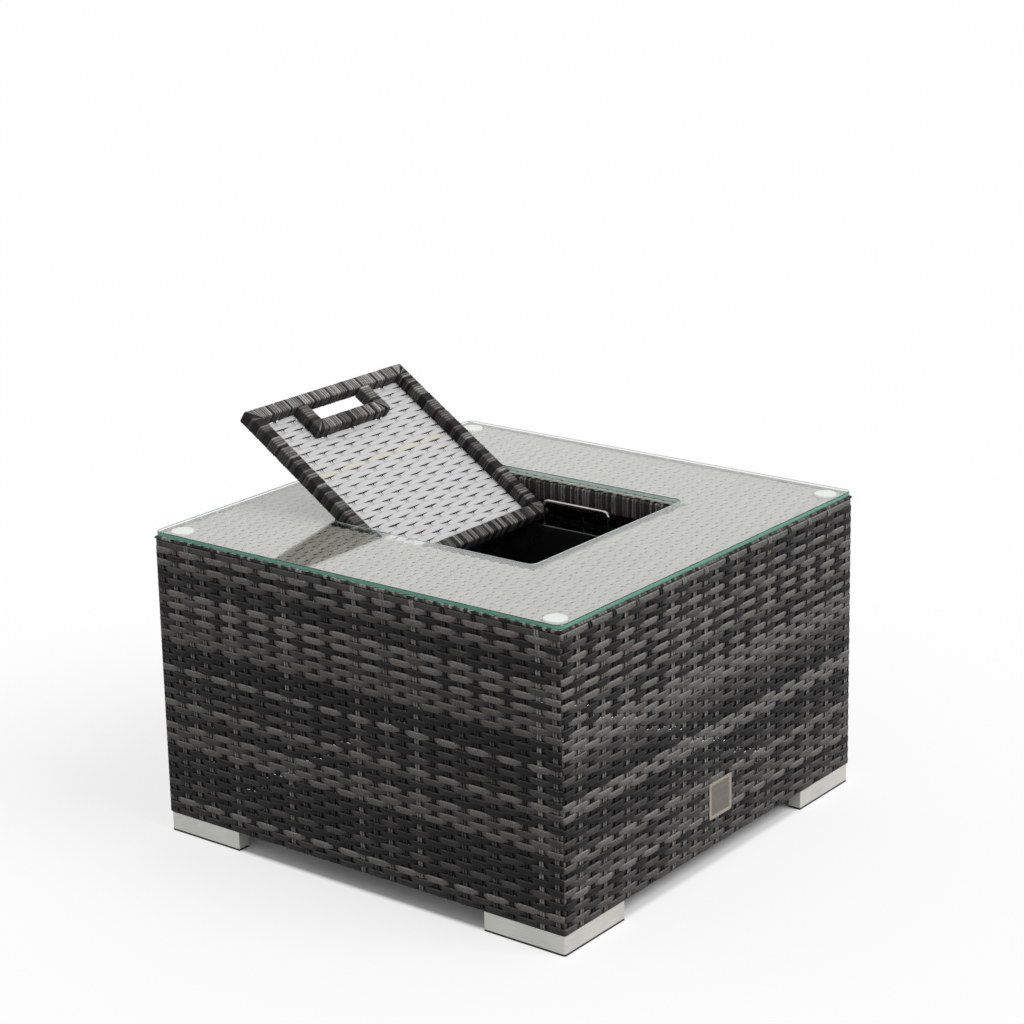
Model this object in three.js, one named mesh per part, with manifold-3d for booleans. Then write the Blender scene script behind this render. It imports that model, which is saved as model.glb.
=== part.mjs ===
// Ice bucket coffee table: a square woven table with a glass top and an opening in its middle. Under the
// opening stands a tub for ice and bottles, and the loose lid of the opening leans in it, half open.
// Millimetres, +Z up. The origin is on the floor under the middle of the table, and the front is -Y.

import * as THREE from "three";
import { mergeVertices } from "three/addons/utils/BufferGeometryUtils.js";
import Module from "manifold-3d";

const wasm = await Module();
wasm.setup();

// Fits and limits
const fit = 0.3; // left between two pieces that touch
const overrun = 5; // how far a cutter runs past what it cuts
const mergeDistance = 0.001;
const arcSegments = 4; // to a quarter turn

// Woven body
const tableWidth = 700;
const bodyHeight = 406;
const standHeight = 28; // floor to the underside of the body
const sideWeaveDepth = 6.4;
const topWeaveDepth = 3;
const topWeaveInset = 3; // the white top stops this far inside the sides
const weaveRelief = 1.4; // rise of a course over the groove beside it
const sideCourses = 46;
const topCourses = 78;
const lidCourses = 31;
const courseRiseShares = [0.3, 0.7]; // where a course is at its full height

// Frame of square tube
const tubeSize = 20;
const tubeWall = 1.5;

// Opening in the top, with its wrapped rails
const openingWidth = 350;
const openingRadius = 10;
const railSetback = 2; // the wrapped rails stand this far behind the edge of the glass
const weaveSetback = 1; // and the white top this far behind the rails' faces
const wellTubeWidth = 16;
const wellTubeHeight = 26;
const wrapDepth = 2.3;
const wrapRadius = 5;

// Glass top
const glassThickness = 6;
const glassInset = 1;
const glassRadius = 12;
const glassArris = 0.8;
const glassLift = 4.5; // weave to the underside of the glass
const bumperDiameter = 32;
const bumperArris = 0.8;
const bumperInset = 29; // middle of a bumper to the sides of the table
const bumperSegments = 16;

// Feet
const footArm = 130;
const footWidth = 19;
const footWall = 1.5;
const footRadius = 4;
const footInset = 3;
const glideHeight = 2.5;
const glidePlug = 6; // how far the glide fills the foot
const boltDiameter = 6;
const boltHeadDiameter = 12;
const boltHeadHeight = 4;
const boltHeadArris = 1;
const boltReach = 10;
const boltSegments = 8;

// Name plate, bare
const plateWidth = 54;
const plateHeight = 53;
const plateThickness = 1.5;
const plateRadius = 1.5;
const plateRise = 68; // lower edge of the body to the plate's middle
const plateOffset = 6;

// Tub
const tubSideRoom = 27; // left on each side of the tub as it is lifted through the glass
const tubForward = 5; // the tub stands this far in front of the middle, clear of the lid
const tubHeight = 140;
const tubWall = 1.6;
const tubTaper = 5; // each wall leans in by this much from rim to floor
const tubRadius = 24;
const tubFloorRadius = 7;
const tubBead = 4; // rolled rim
const tubRimDepth = 68; // top of the glass to the rim

// Wire loops that stand up from the tub's rim
const loopWire = 5;
const loopRise = 36; // rim to the middle of the top bar
const loopRadius = 9;
const loopFoot = 26; // rim down to the welded ends
const loopLidGap = 2.7; // least room between a loop and the lid
const loopSides = 8;
const loopSteps = 48;

// Rails that the tub stands on
const tubRailSpacing = 180;

// Lid
const lidSideRoom = 4; // left in the opening on each side of the closed lid
const lidEndRoom = 7.5; // and at each end of it
const lidTilt = THREE.MathUtils.degToRad(33.4);
const lidTubeSize = 16;
const lidTubeWall = 1.2;
const lidPanelDepth = 2.5;
const gripWidth = 156; // outside of the frame round the hand-hole
const gripReach = 52; // middle of the upper rail to the middle of the grip

// Ledges that hold the closed lid
const ledgeEndRoom = 27; // from the ends of a ledge to the walls beside it
const ledgeWall = 2;
const ledgeDrop = 12;
const ledgeBearing = 1; // what still rests when the lid is pushed to the far side

// Levels and places that follow from the sizes above
const tableHalf = tableWidth / 2;
const bodyTop = standHeight + bodyHeight;
const railTop = bodyTop - topWeaveDepth - fit;
const frameHalf = tableHalf - sideWeaveDepth - fit;
const frameInner = frameHalf - tubeSize;
const glassBottom = bodyTop + glassLift;
const glassTop = glassBottom + glassThickness;
const openingHalf = openingWidth / 2;
const wrapRoom = wrapDepth + fit; // from a tube's face to the outside of its wrap
const wellFace = openingHalf + railSetback;
const wellWrapWidth = wellTubeWidth + 2 * wrapRoom;
const wellWrapHeight = wellTubeHeight + 2 * wrapRoom;
const wellMiddle = wellFace + wellWrapWidth / 2;
const tubWidth = openingWidth - 2 * tubSideRoom;
const lidWidth = openingWidth - 2 * lidSideRoom;
const lidLength = openingWidth - 2 * lidEndRoom;
const lidRail = lidTubeSize + 2 * wrapRoom;
const rimLevel = glassTop - tubRimDepth;
const tubFloor = rimLevel - tubHeight;
const ledgeWidth = 2 * wellFace - lidLength + ledgeBearing;
const ledgeLength = 2 * (wellFace - ledgeEndRoom);

// The lid's lower rail stands on the tub's rim, and its underside leans on the ground edge of the glass.
const lidLow = rimLevel + fit - wrapRadius * (Math.sin(lidTilt) + Math.cos(lidTilt) - 1);
const lidLean = openingHalf + glassArris;
const lidFoot = lidLean - ((glassTop - lidLow) * Math.cos(lidTilt) + fit) / Math.sin(lidTilt);
const lidFront = lidFoot - lidRail * Math.sin(lidTilt);

// The tub's loops are as wide as the lid in front of them leaves room for.
const tubMiddle = -tubForward;
const loopWidth = 2 * (lidFront - loopLidGap - loopWire / 2 - tubMiddle);

// Colours and finishes
const finishes = {
  frame: { color: 0x2b2c2e, roughness: 0.5, metalness: 0.6 },
  sideWeave: { color: 0x4a4b4d, roughness: 0.7, metalness: 0 },
  whiteWeave: { color: 0xcfcfc8, roughness: 0.7, metalness: 0 },
  wrap: { color: 0x55565a, roughness: 0.65, metalness: 0 },
  glass: { color: 0xbfe0d6, roughness: 0.05, metalness: 0, transparent: true, opacity: 0.35 },
  bumper: { color: 0xe8ebe8, roughness: 0.25, metalness: 0, transparent: true, opacity: 0.6 },
  aluminium: { color: 0xc8c8c0, roughness: 0.35, metalness: 1 },
  black: { color: 0x111112, roughness: 0.45, metalness: 0 },
  steel: { color: 0x8e8f92, roughness: 0.35, metalness: 1 },
};

const table = new THREE.Group();
table.name = "ice_bucket_coffee_table";

function addPart(group, name, geometry, finish, position = [0, 0, 0], turn = 0) {
  const mesh = new THREE.Mesh(geometry, new THREE.MeshStandardMaterial(finishes[finish]));
  mesh.name = name;
  mesh.position.set(...position);
  mesh.rotation.z = turn;
  group.add(mesh);
  return mesh;
}

// Solids for cutting and joining
function solidOf(geometry) {
  const bare = geometry.index ? geometry.toNonIndexed() : geometry.clone();
  bare.deleteAttribute("normal");
  bare.deleteAttribute("uv");
  const merged = mergeVertices(bare, mergeDistance);
  const vertProperties = merged.attributes.position.array;
  const triVerts = new Uint32Array(merged.index.array);
  return new wasm.Manifold(new wasm.Mesh({ numProp: 3, vertProperties, triVerts }));
}

function geometryOf(solid) {
  const { numProp, vertProperties, triVerts } = solid.getMesh();
  const shared = new THREE.BufferGeometry();
  shared.setAttribute("position", new THREE.BufferAttribute(vertProperties, numProp));
  shared.setIndex(new THREE.BufferAttribute(triVerts, 1));
  const faceted = shared.toNonIndexed();
  faceted.computeVertexNormals();
  return faceted;
}

function join(geometries) {
  return geometryOf(geometries.map(solidOf).reduce((all, next) => all.add(next)));
}

function cut(geometry, cutters) {
  return geometryOf(cutters.map(solidOf).reduce((left, next) => left.subtract(next), solidOf(geometry)));
}

// Outlines
function rectangle(width, height) {
  const shape = new THREE.Shape();
  shape.moveTo(-width / 2, -height / 2);
  shape.lineTo(width / 2, -height / 2);
  shape.lineTo(width / 2, height / 2);
  shape.lineTo(-width / 2, height / 2);
  shape.closePath();
  return shape;
}

function roundedRectangle(width, height, radius) {
  const x = width / 2 - radius;
  const y = height / 2 - radius;
  const shape = new THREE.Shape();
  shape.moveTo(-x, -height / 2);
  shape.lineTo(x, -height / 2);
  shape.absarc(x, -y, radius, -Math.PI / 2, 0);
  shape.lineTo(width / 2, y);
  shape.absarc(x, y, radius, 0, Math.PI / 2);
  shape.lineTo(-x, height / 2);
  shape.absarc(-x, y, radius, Math.PI / 2, Math.PI);
  shape.lineTo(-width / 2, -y);
  shape.absarc(-x, -y, radius, Math.PI, Math.PI * 1.5);
  return shape;
}

// An L with its outer corner at the origin, drawn in all round by an inset.
function cornerOutline(arm, width, radius, inset) {
  const end = arm - inset;
  const inner = width - inset;
  const shape = new THREE.Shape();
  shape.moveTo(radius, inset);
  shape.lineTo(end, inset);
  shape.lineTo(end, inner);
  shape.lineTo(inner, inner);
  shape.lineTo(inner, end);
  shape.lineTo(inset, end);
  shape.lineTo(inset, radius);
  shape.absarc(radius, radius, radius - inset, Math.PI, Math.PI * 1.5);
  return shape;
}

// A woven sheet seen along its courses: flat at the back and one rise for each course.
function courseOutline(length, depth, count) {
  const pitch = length / count;
  const groove = depth - weaveRelief;
  const shape = new THREE.Shape();
  shape.moveTo(-length / 2, 0);
  shape.lineTo(length / 2, 0);
  for (let course = count; course > 0; course--) {
    const start = course * pitch - length / 2;
    shape.lineTo(start, groove);
    courseRiseShares.forEach((share) => shape.lineTo(start - share * pitch, depth));
  }
  shape.lineTo(-length / 2, groove);
  shape.closePath();
  return shape;
}

// Bars: an outline drawn across and upwards, pushed along an axis on both sides of the origin
function bar(axis, shape, length) {
  const options = { depth: length, bevelEnabled: false, curveSegments: arcSegments };
  const geometry = new THREE.ExtrudeGeometry(shape, options);
  geometry.translate(0, 0, -length / 2);
  if (axis !== "z") geometry.rotateX(Math.PI / 2);
  if (axis === "x") geometry.rotateZ(Math.PI / 2);
  return geometry;
}

function tube(axis, length, width = tubeSize, height = tubeSize, wall = tubeWall) {
  const shape = rectangle(width, height);
  shape.holes.push(rectangle(width - 2 * wall, height - 2 * wall));
  return bar(axis, shape, length);
}

function box(low, high) {
  const size = high.map((value, k) => value - low[k]);
  const middle = high.map((value, k) => (value + low[k]) / 2);
  return new THREE.BoxGeometry(...size).translate(...middle);
}

// Cuts the ends of a bar along X at 45 degrees. Its face at the given Y keeps its whole length.
function mitre(geometry, longFace) {
  const place = geometry.attributes.position;
  for (let i = 0; i < place.count; i++) {
    const end = place.getX(i);
    const depth = Math.abs(place.getY(i) - longFace);
    place.setX(i, end - Math.sign(end) * (depth + fit / 2));
  }
  geometry.computeVertexNormals();
  return geometry;
}

// A disc-like solid turned about +Z from a profile of radius and height
function turned(profile, segments) {
  const points = profile.map(([radius, height]) => new THREE.Vector2(radius, height));
  return new THREE.LatheGeometry(points, segments).rotateX(Math.PI / 2);
}

// Closed solid through a list of rings that have as many points each
function loft(rings) {
  const corners = [];
  const count = rings[0].length;
  const face = (...points) => points.forEach((point) => corners.push(...point.toArray()));
  const middleOf = (ring) => new THREE.Vector3(0, 0, ring[0].z);
  const first = rings[0];
  const last = rings[rings.length - 1];
  for (let i = 0; i < count; i++) {
    const next = (i + 1) % count;
    face(middleOf(first), first[next], first[i]);
    face(middleOf(last), last[i], last[next]);
    for (let k = 0; k + 1 < rings.length; k++) {
      face(rings[k][i], rings[k][next], rings[k + 1][next]);
      face(rings[k][i], rings[k + 1][next], rings[k + 1][i]);
    }
  }
  const geometry = new THREE.BufferGeometry();
  geometry.setAttribute("position", new THREE.Float32BufferAttribute(corners, 3));
  geometry.computeVertexNormals();
  return geometry;
}

function roundedRing(half, radius, level) {
  const outline = roundedRectangle(2 * half, 2 * half, radius).getPoints(arcSegments);
  const open = outline.slice(0, outline[0].distanceTo(outline[outline.length - 1]) > mergeDistance
    ? outline.length : -1);
  return open.map((point) => new THREE.Vector3(point.x, point.y, level));
}

// The four sides and corners, by quarter turns about +Z
const quarter = Math.PI / 2;
const sides = ["front", "right", "back", "left"];
const corners = ["front_left", "front_right", "back_right", "back_left"];

function frameLength(side) {
  return 2 * (side % 2 ? frameInner - fit : frameHalf);
}

// Frame: four posts between square rails, with two rails half-way up the left and right sides
function buildFrame() {
  const frame = new THREE.Group();
  const railMiddle = frameHalf - tubeSize / 2;
  const boltPlace = tableHalf - footInset - footWidth / 2;
  const boltHole = new THREE.CylinderGeometry(
    boltDiameter / 2 + fit,
    boltDiameter / 2 + fit,
    tubeWall + 2 * overrun,
    boltSegments,
  ).rotateX(Math.PI / 2);
  sides.forEach((name, side) => {
    const length = frameLength(side);
    let bottom = tube("x", length);
    if (side % 2 === 0) {
      const holes = [-boltPlace, boltPlace].map((x) =>
        boltHole.clone().translate(x, railMiddle - boltPlace, -tubeSize / 2),
      );
      bottom = cut(bottom, holes);
    }
    const arm = new THREE.Group();
    arm.rotation.z = side * quarter;
    frame.add(arm);
    addPart(arm, `bottom_rail_${name}`, bottom, "frame", [0, -railMiddle, standHeight + tubeSize / 2]);
    addPart(arm, `top_rail_${name}`, tube("x", length), "frame", [0, -railMiddle, railTop - tubeSize / 2]);
    if (side % 2) {
      const level = tubFloor - fit - tubeSize / 2;
      addPart(arm, `middle_rail_${name}`, tube("x", length), "frame", [0, -railMiddle, level]);
    }
  });
  const postLow = standHeight + tubeSize + fit;
  const postHigh = railTop - tubeSize - fit;
  const post = tube("z", postHigh - postLow);
  corners.forEach((name, corner) => {
    const holder = new THREE.Group();
    holder.rotation.z = corner * quarter;
    frame.add(holder);
    const place = [-railMiddle, -railMiddle, (postLow + postHigh) / 2];
    addPart(holder, `corner_post_${name}`, post, "frame", place);
  });
  ["front", "back"].forEach((name, index) => {
    const y = tubMiddle + (index - 1 / 2) * tubRailSpacing;
    const level = tubFloor - fit - tubeSize / 2;
    addPart(frame, `tub_rail_${name}`, tube("x", 2 * (frameInner - fit)), "frame", [0, y, level]);
  });
  return frame;
}

// Woven sides, mitred at the corners, with a shallow seat for the name plate in the front one
function buildSides() {
  const weave = new THREE.Group();
  const height = railTop - standHeight;
  const plateLevel = plateRise - height / 2;
  sides.forEach((name, side) => {
    const shape = courseOutline(height, sideWeaveDepth, sideCourses);
    const panel = bar("x", shape, tableWidth).rotateX(quarter);
    panel.translate(0, sideWeaveDepth - tableHalf, 0);
    mitre(panel, -tableHalf);
    let geometry = panel;
    if (name === "front") {
      const half = plateWidth / 2 + fit;
      const rise = plateHeight / 2 + fit;
      const seat = box(
        [plateOffset - half, -tableHalf - overrun, plateLevel - rise],
        [plateOffset + half, -tableHalf + plateThickness + fit, plateLevel + rise],
      );
      geometry = cut(panel, [seat]);
    }
    const level = standHeight + height / 2;
    addPart(weave, `side_weave_${name}`, geometry, "sideWeave", [0, 0, level], side * quarter);
  });
  const plate = bar("y", roundedRectangle(plateWidth, plateHeight, plateRadius), plateThickness);
  const place = [plateOffset, (plateThickness - tableWidth) / 2, standHeight + plateRise];
  addPart(weave, "name_plate", plate, "aluminium", place);
  return weave;
}

// White woven top, a square ring whose courses run along X
function buildTopWeave() {
  const half = tableHalf - topWeaveInset;
  const hole = wellFace + weaveSetback;
  const sheet = bar("x", courseOutline(2 * half, topWeaveDepth, topCourses), 2 * half);
  const cutter = box([-hole, -hole, -overrun], [hole, hole, topWeaveDepth + overrun]);
  const ring = new THREE.Group();
  addPart(ring, "top_weave", cut(sheet, [cutter]), "whiteWeave", [0, 0, bodyTop - topWeaveDepth]);
  return ring;
}

// Opening: two tubes across the whole frame, two short ones between them, a wrap round each of the
// four where the opening shows it, and two ledges for the closed lid
function buildOpening() {
  const well = new THREE.Group();
  well.position.z = railTop - wellWrapHeight / 2;
  const across = 2 * (frameInner - fit);
  const between = 2 * (wellMiddle - wellTubeWidth / 2 - fit);
  const room = [wellTubeWidth + 2 * fit, wellTubeHeight + 2 * fit];
  const tubeRoom = sides.map((name, side) =>
    bar("x", rectangle(...room), side % 2 ? between : across)
      .translate(0, -wellMiddle, 0)
      .rotateZ(side * quarter),
  );
  sides.forEach((name, side) => {
    const length = side % 2 ? between : across;
    const rail = tube("x", length, wellTubeWidth, wellTubeHeight).translate(0, -wellMiddle, 0);
    addPart(well, `opening_tube_${name}`, rail, "frame", [0, 0, 0], side * quarter);
    const outside = wellFace + wellWrapWidth;
    const shape = roundedRectangle(wellWrapWidth, wellWrapHeight, wrapRadius);
    const sleeve = mitre(bar("x", shape, 2 * outside).translate(0, -wellMiddle, 0), -outside);
    const wrap = cut(sleeve.rotateZ(side * quarter), tubeRoom);
    addPart(well, `opening_wrap_${name}`, wrap, "wrap");
  });

  const ledgeTop = glassTop - lidRail - fit - well.position.z;
  const back = wellFace - fit;
  const shape = new THREE.Shape();
  shape.moveTo(-back, ledgeTop);
  shape.lineTo(-back, ledgeTop - ledgeDrop);
  shape.lineTo(ledgeWall - back, ledgeTop - ledgeDrop);
  shape.lineTo(ledgeWall - back, ledgeTop - ledgeWall);
  shape.lineTo(ledgeWidth - back, ledgeTop - ledgeWall);
  shape.lineTo(ledgeWidth - back, ledgeTop);
  shape.closePath();
  ["front", "back"].forEach((name, index) => {
    addPart(well, `lid_ledge_${name}`, bar("x", shape, ledgeLength), "black", [0, 0, 0], 2 * index * quarter);
  });
  return well;
}

// Glass with rounded corners, ground edges and a square cut-out, on four bumper discs
function buildGlass() {
  const top = new THREE.Group();
  const width = tableWidth - 2 * glassInset;
  const shape = roundedRectangle(width, width, glassRadius);
  shape.holes.push(roundedRectangle(openingWidth, openingWidth, openingRadius));
  const sheet = new THREE.ExtrudeGeometry(shape, {
    depth: glassThickness - 2 * glassArris,
    bevelThickness: glassArris,
    bevelSize: glassArris,
    bevelOffset: -glassArris,
    bevelSegments: 1,
    curveSegments: arcSegments,
  });
  addPart(top, "glass_top", sheet, "glass", [0, 0, glassBottom + glassArris]);

  const radius = bumperDiameter / 2;
  const height = glassLift - 2 * fit;
  const disc = turned(
    [
      [0, 0],
      [radius - bumperArris, 0],
      [radius, bumperArris],
      [radius, height - bumperArris],
      [radius - bumperArris, height],
      [0, height],
    ],
    bumperSegments,
  );
  const reach = tableHalf - bumperInset;
  const places = { front_left: [-1, -1], front_right: [1, -1], back_right: [1, 1], back_left: [-1, 1] };
  corners.forEach((name) => {
    const [x, y] = places[name];
    addPart(top, `bumper_${name}`, disc, "bumper", [x * reach, y * reach, bodyTop + fit]);
  });
  return top;
}

// L-shaped feet, open underneath, each with a glide pushed in from below and a bolt into the frame
function buildFeet() {
  const feet = new THREE.Group();
  const height = standHeight - fit - glideHeight - fit;
  const bolt = footWidth / 2;
  const hole = new THREE.CylinderGeometry(
    boltDiameter / 2 + fit,
    boltDiameter / 2 + fit,
    footWall + 2 * overrun,
    boltSegments,
  ).rotateX(Math.PI / 2);
  const outline = (inset) => cornerOutline(footArm, footWidth, footRadius, inset);
  const shell = bar("z", outline(0), height).translate(0, 0, height / 2);
  const hollow = bar("z", outline(footWall), height).translate(0, 0, height / 2 - footWall);
  const foot = cut(shell, [hollow, hole.translate(bolt, bolt, height)]);

  const sole = bar("z", outline(0), glideHeight).translate(0, 0, glideHeight / 2);
  const plugTop = glideHeight + glidePlug;
  const plug = bar("z", outline(footWall + fit), plugTop).translate(0, 0, plugTop / 2);
  const glide = join([sole, plug]);

  const shank = boltDiameter / 2;
  const head = boltHeadDiameter / 2;
  const boltLength = boltHeadHeight + footWall + 2 * fit + boltReach;
  const screw = turned(
    [
      [0, 0],
      [head - boltHeadArris, 0],
      [head, boltHeadArris],
      [head, boltHeadHeight],
      [shank, boltHeadHeight],
      [shank, boltLength],
      [0, boltLength],
    ],
    boltSegments,
  );
  const cornerPlace = footInset - tableHalf;
  const boltLevel = standHeight - fit - footWall - fit - boltHeadHeight;
  corners.forEach((name, corner) => {
    const holder = new THREE.Group();
    holder.rotation.z = corner * quarter;
    feet.add(holder);
    addPart(holder, `foot_${name}`, foot, "aluminium", [cornerPlace, cornerPlace, glideHeight + fit]);
    addPart(holder, `glide_${name}`, glide, "black", [cornerPlace, cornerPlace, 0]);
    const place = [cornerPlace + bolt, cornerPlace + bolt, boltLevel];
    addPart(holder, `foot_bolt_${name}`, screw, "steel", place);
  });
  return feet;
}

// Tub with leaning walls and a rolled rim, and the two wire loops that are welded to its sides
function buildTub() {
  const tub = new THREE.Group();
  tub.position.set(0, tubMiddle, tubFloor);
  const bead = tubBead / 2;
  const rim = tubWidth / 2;
  const wall = rim - bead;
  const foot = wall - tubTaper;
  const ring = (half, level) => roundedRing(half, tubRadius - rim + half, level);
  const shell = loft([
    ring(foot - tubFloorRadius, 0),
    ring(foot - tubFloorRadius / 4, tubFloorRadius / 4),
    ring(foot, tubFloorRadius),
    ring(wall, tubHeight - tubBead),
    ring(rim - bead / 4, tubHeight - tubBead),
    ring(rim, tubHeight - bead),
    ring(rim - bead / 4, tubHeight - bead / 4),
    ring(rim - bead, tubHeight),
    ring(wall - tubWall, tubHeight - bead / 2),
    ring(wall - tubWall, tubHeight - tubBead),
    ring(foot - tubWall, tubFloorRadius),
    ring(foot - tubWall - tubFloorRadius / 4, tubFloorRadius / 4 + tubWall),
    ring(foot - tubFloorRadius - tubWall, tubWall),
  ]);
  addPart(tub, "tub", shell, "black");

  const footLevel = tubHeight - loopFoot;
  const plane = rim + fit + loopWire / 2;
  const wallHere = foot + (tubTaper * (footLevel - tubFloorRadius)) / (tubHeight - tubBead - tubFloorRadius);
  const end = wallHere + fit;
  const side = loopWidth / 2;
  const top = tubHeight + loopRise;
  const bend = Math.min(loopRadius, plane - end);
  const point = (x, y, z) => new THREE.Vector3(x, y, z);
  const wire = new THREE.CurvePath();
  const leg = (sign) => [
    point(end, sign * side, footLevel),
    point(plane - bend / 2, sign * side, footLevel),
    point(plane, sign * side, footLevel),
    point(plane, sign * side, footLevel + bend / 2),
    point(plane, sign * side, top - loopRadius),
    point(plane, sign * side, top),
    point(plane, sign * (side - loopRadius), top),
  ];
  const up = leg(-1);
  const down = leg(1).reverse();
  wire.add(new THREE.LineCurve3(up[0], up[1]));
  wire.add(new THREE.QuadraticBezierCurve3(up[1], up[2], up[3]));
  wire.add(new THREE.LineCurve3(up[3], up[4]));
  wire.add(new THREE.QuadraticBezierCurve3(up[4], up[5], up[6]));
  wire.add(new THREE.LineCurve3(up[6], down[0]));
  wire.add(new THREE.QuadraticBezierCurve3(down[0], down[1], down[2]));
  wire.add(new THREE.LineCurve3(down[2], down[3]));
  wire.add(new THREE.QuadraticBezierCurve3(down[3], down[4], down[5]));
  wire.add(new THREE.LineCurve3(down[5], down[6]));
  const section = new THREE.Shape(
    Array.from({ length: loopSides }, (unused, k) => {
      const angle = ((k + 1 / 2) * 2 * Math.PI) / loopSides;
      return new THREE.Vector2(Math.cos(angle), Math.sin(angle)).multiplyScalar(loopWire / 2);
    }),
  );
  const loop = new THREE.ExtrudeGeometry(section, { steps: loopSteps, extrudePath: wire });
  addPart(tub, "tub_loop_right", loop, "black");
  addPart(tub, "tub_loop_left", loop, "black", [0, 0, 0], 2 * quarter);
  return tub;
}

// Lid, lying flat in its own group: X across, Y from its lower to its upper end, Z from its underside
function buildLid() {
  const lid = new THREE.Group();
  lid.position.set(0, lidFoot, lidLow);
  lid.rotation.x = lidTilt;
  const middle = lidRail / 2;
  const sideX = lidWidth / 2 - middle;
  const upperY = lidLength - middle;
  const gripX = gripWidth / 2 - middle;
  const gripY = upperY - gripReach;

  // The welded tubes in plan: all that lies within half a width of their middles
  const plan = (half) => {
    const shape = new THREE.Shape();
    const trace = (path, points) => {
      points.forEach(([x, y], k) => (k ? path.lineTo(x, y) : path.moveTo(x, y)));
      path.closePath();
      return path;
    };
    const outside = sideX + half;
    const inside = sideX - half;
    const top = upperY - half;
    const hand = gripX - half;
    const grip = gripX + half;
    trace(shape, [
      [-outside, middle - half],
      [outside, middle - half],
      [outside, upperY + half],
      [-outside, upperY + half],
    ]);
    const handHole = trace(new THREE.Path(), [
      [-hand, gripY + half],
      [hand, gripY + half],
      [hand, top],
      [-hand, top],
    ]);
    const panelPlace = trace(new THREE.Path(), [
      [-inside, middle + half],
      [inside, middle + half],
      [inside, top],
      [grip, top],
      [grip, gripY - half],
      [-grip, gripY - half],
      [-grip, top],
      [-inside, top],
    ]);
    shape.holes.push(handHole, panelPlace);
    return bar("z", shape, 2 * half).translate(0, 0, middle);
  };
  const drain = lidTubeSize / 4;
  const drains = [-sideX, sideX].map((x) =>
    box([x - drain, -overrun, middle - drain], [x + drain, middle, middle + drain]),
  );
  const bores = plan(lidTubeSize / 2 - lidTubeWall);
  addPart(lid, "lid_frame", cut(plan(lidTubeSize / 2), [bores, ...drains]), "frame");

  const room = [plan(lidTubeSize / 2 + fit)];
  const square = roundedRectangle(lidRail, lidRail, wrapRadius);
  const sleeve = (length) =>
    mitre(bar("x", square, length).translate(0, middle - length / 2, 0), -length / 2);
  const rails = { lower: [lidWidth, lidLength, 0], right: [lidLength, lidWidth, 1] };
  rails.upper = [lidWidth, lidLength, 2];
  rails.left = [lidLength, lidWidth, 3];
  Object.entries(rails).forEach(([name, [length, apart, turns]]) => {
    const wrap = sleeve(length).translate(0, (length - apart) / 2, 0).rotateZ(turns * quarter);
    addPart(lid, `lid_wrap_${name}`, cut(wrap.translate(0, lidLength / 2, middle), room), "wrap");
  });

  const legEnd = lidLength - lidRail - fit;
  const leg = bar("y", square, legEnd - gripY).translate(0, (legEnd + gripY) / 2, middle);
  const grip = bar("x", square, gripWidth).translate(0, gripY, middle);
  const legs = [-gripX, gripX].map((x) => leg.clone().translate(x, 0, 0));
  addPart(lid, "lid_grip_wrap", cut(join([grip, ...legs]), room), "wrap");

  const panelX = lidWidth / 2 - lidRail - fit;
  const panelLength = lidLength - 2 * (lidRail + fit);
  const sheet = bar("x", courseOutline(panelLength, lidPanelDepth, lidCourses), 2 * panelX);
  const gap = gripWidth / 2 + fit;
  const gripEdge = gripY - middle - fit;
  const notch = box([-gap, gripEdge, -overrun], [gap, lidLength, lidPanelDepth + overrun]);
  addPart(lid, "lid_panel", cut(sheet.translate(0, lidLength / 2, 0), [notch]), "whiteWeave");
  return lid;
}

table.add(
  buildFeet(),
  buildFrame(),
  buildSides(),
  buildTopWeave(),
  buildOpening(),
  buildGlass(),
  buildTub(),
  buildLid(),
);

export default table;
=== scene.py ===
import math

import bmesh
import bpy
import numpy as np
from bpy.props import FloatProperty, FloatVectorProperty, IntProperty, PointerProperty
from mathutils import Matrix, Vector


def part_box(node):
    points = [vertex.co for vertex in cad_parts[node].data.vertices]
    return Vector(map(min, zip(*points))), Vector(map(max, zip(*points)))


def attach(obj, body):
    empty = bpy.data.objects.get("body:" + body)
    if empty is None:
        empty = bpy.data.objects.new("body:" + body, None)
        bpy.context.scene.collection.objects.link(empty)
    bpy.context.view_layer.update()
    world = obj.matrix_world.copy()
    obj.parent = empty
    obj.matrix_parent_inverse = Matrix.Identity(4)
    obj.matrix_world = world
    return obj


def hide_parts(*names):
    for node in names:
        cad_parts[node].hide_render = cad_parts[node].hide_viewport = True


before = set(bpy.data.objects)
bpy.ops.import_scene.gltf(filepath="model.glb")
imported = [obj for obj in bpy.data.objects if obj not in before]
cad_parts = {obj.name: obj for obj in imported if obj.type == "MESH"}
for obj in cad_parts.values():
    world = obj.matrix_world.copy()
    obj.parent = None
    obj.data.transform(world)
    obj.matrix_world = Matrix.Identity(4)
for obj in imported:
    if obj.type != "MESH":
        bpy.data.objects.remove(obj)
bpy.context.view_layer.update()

bl_info = {
    "name": "Ice bucket coffee table",
    "version": (1, 0, 0),
    "blender": (4, 5, 0),
    "location": "View3D > Sidebar > Table",
    "description": "Weaves, wraps and finishes of a square patio table with a glass top and a propped lid",
    "category": "Object",
}

# What the packed model gives, in metres
MM = 0.001
SIDES = ("front", "right", "back", "left")
CORNERS = ("front_left", "front_right", "back_right", "back_left")
HALF_WIDTH = -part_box("side_weave_front")[0].y
STAND_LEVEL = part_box("side_weave_front")[0].z
BODY_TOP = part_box("top_weave")[1].z
QUARTER = math.pi / 2


def shade(red, green, blue):
    """A colour as it looks on the screen, 0 to 255, in the linear values that shaders take."""
    linear = []
    for value in (red / 255, green / 255, blue / 255):
        linear.append(value / 12.92 if value <= 0.04045 else ((value + 0.055) / 1.055) ** 2.4)
    return tuple(linear)


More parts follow.
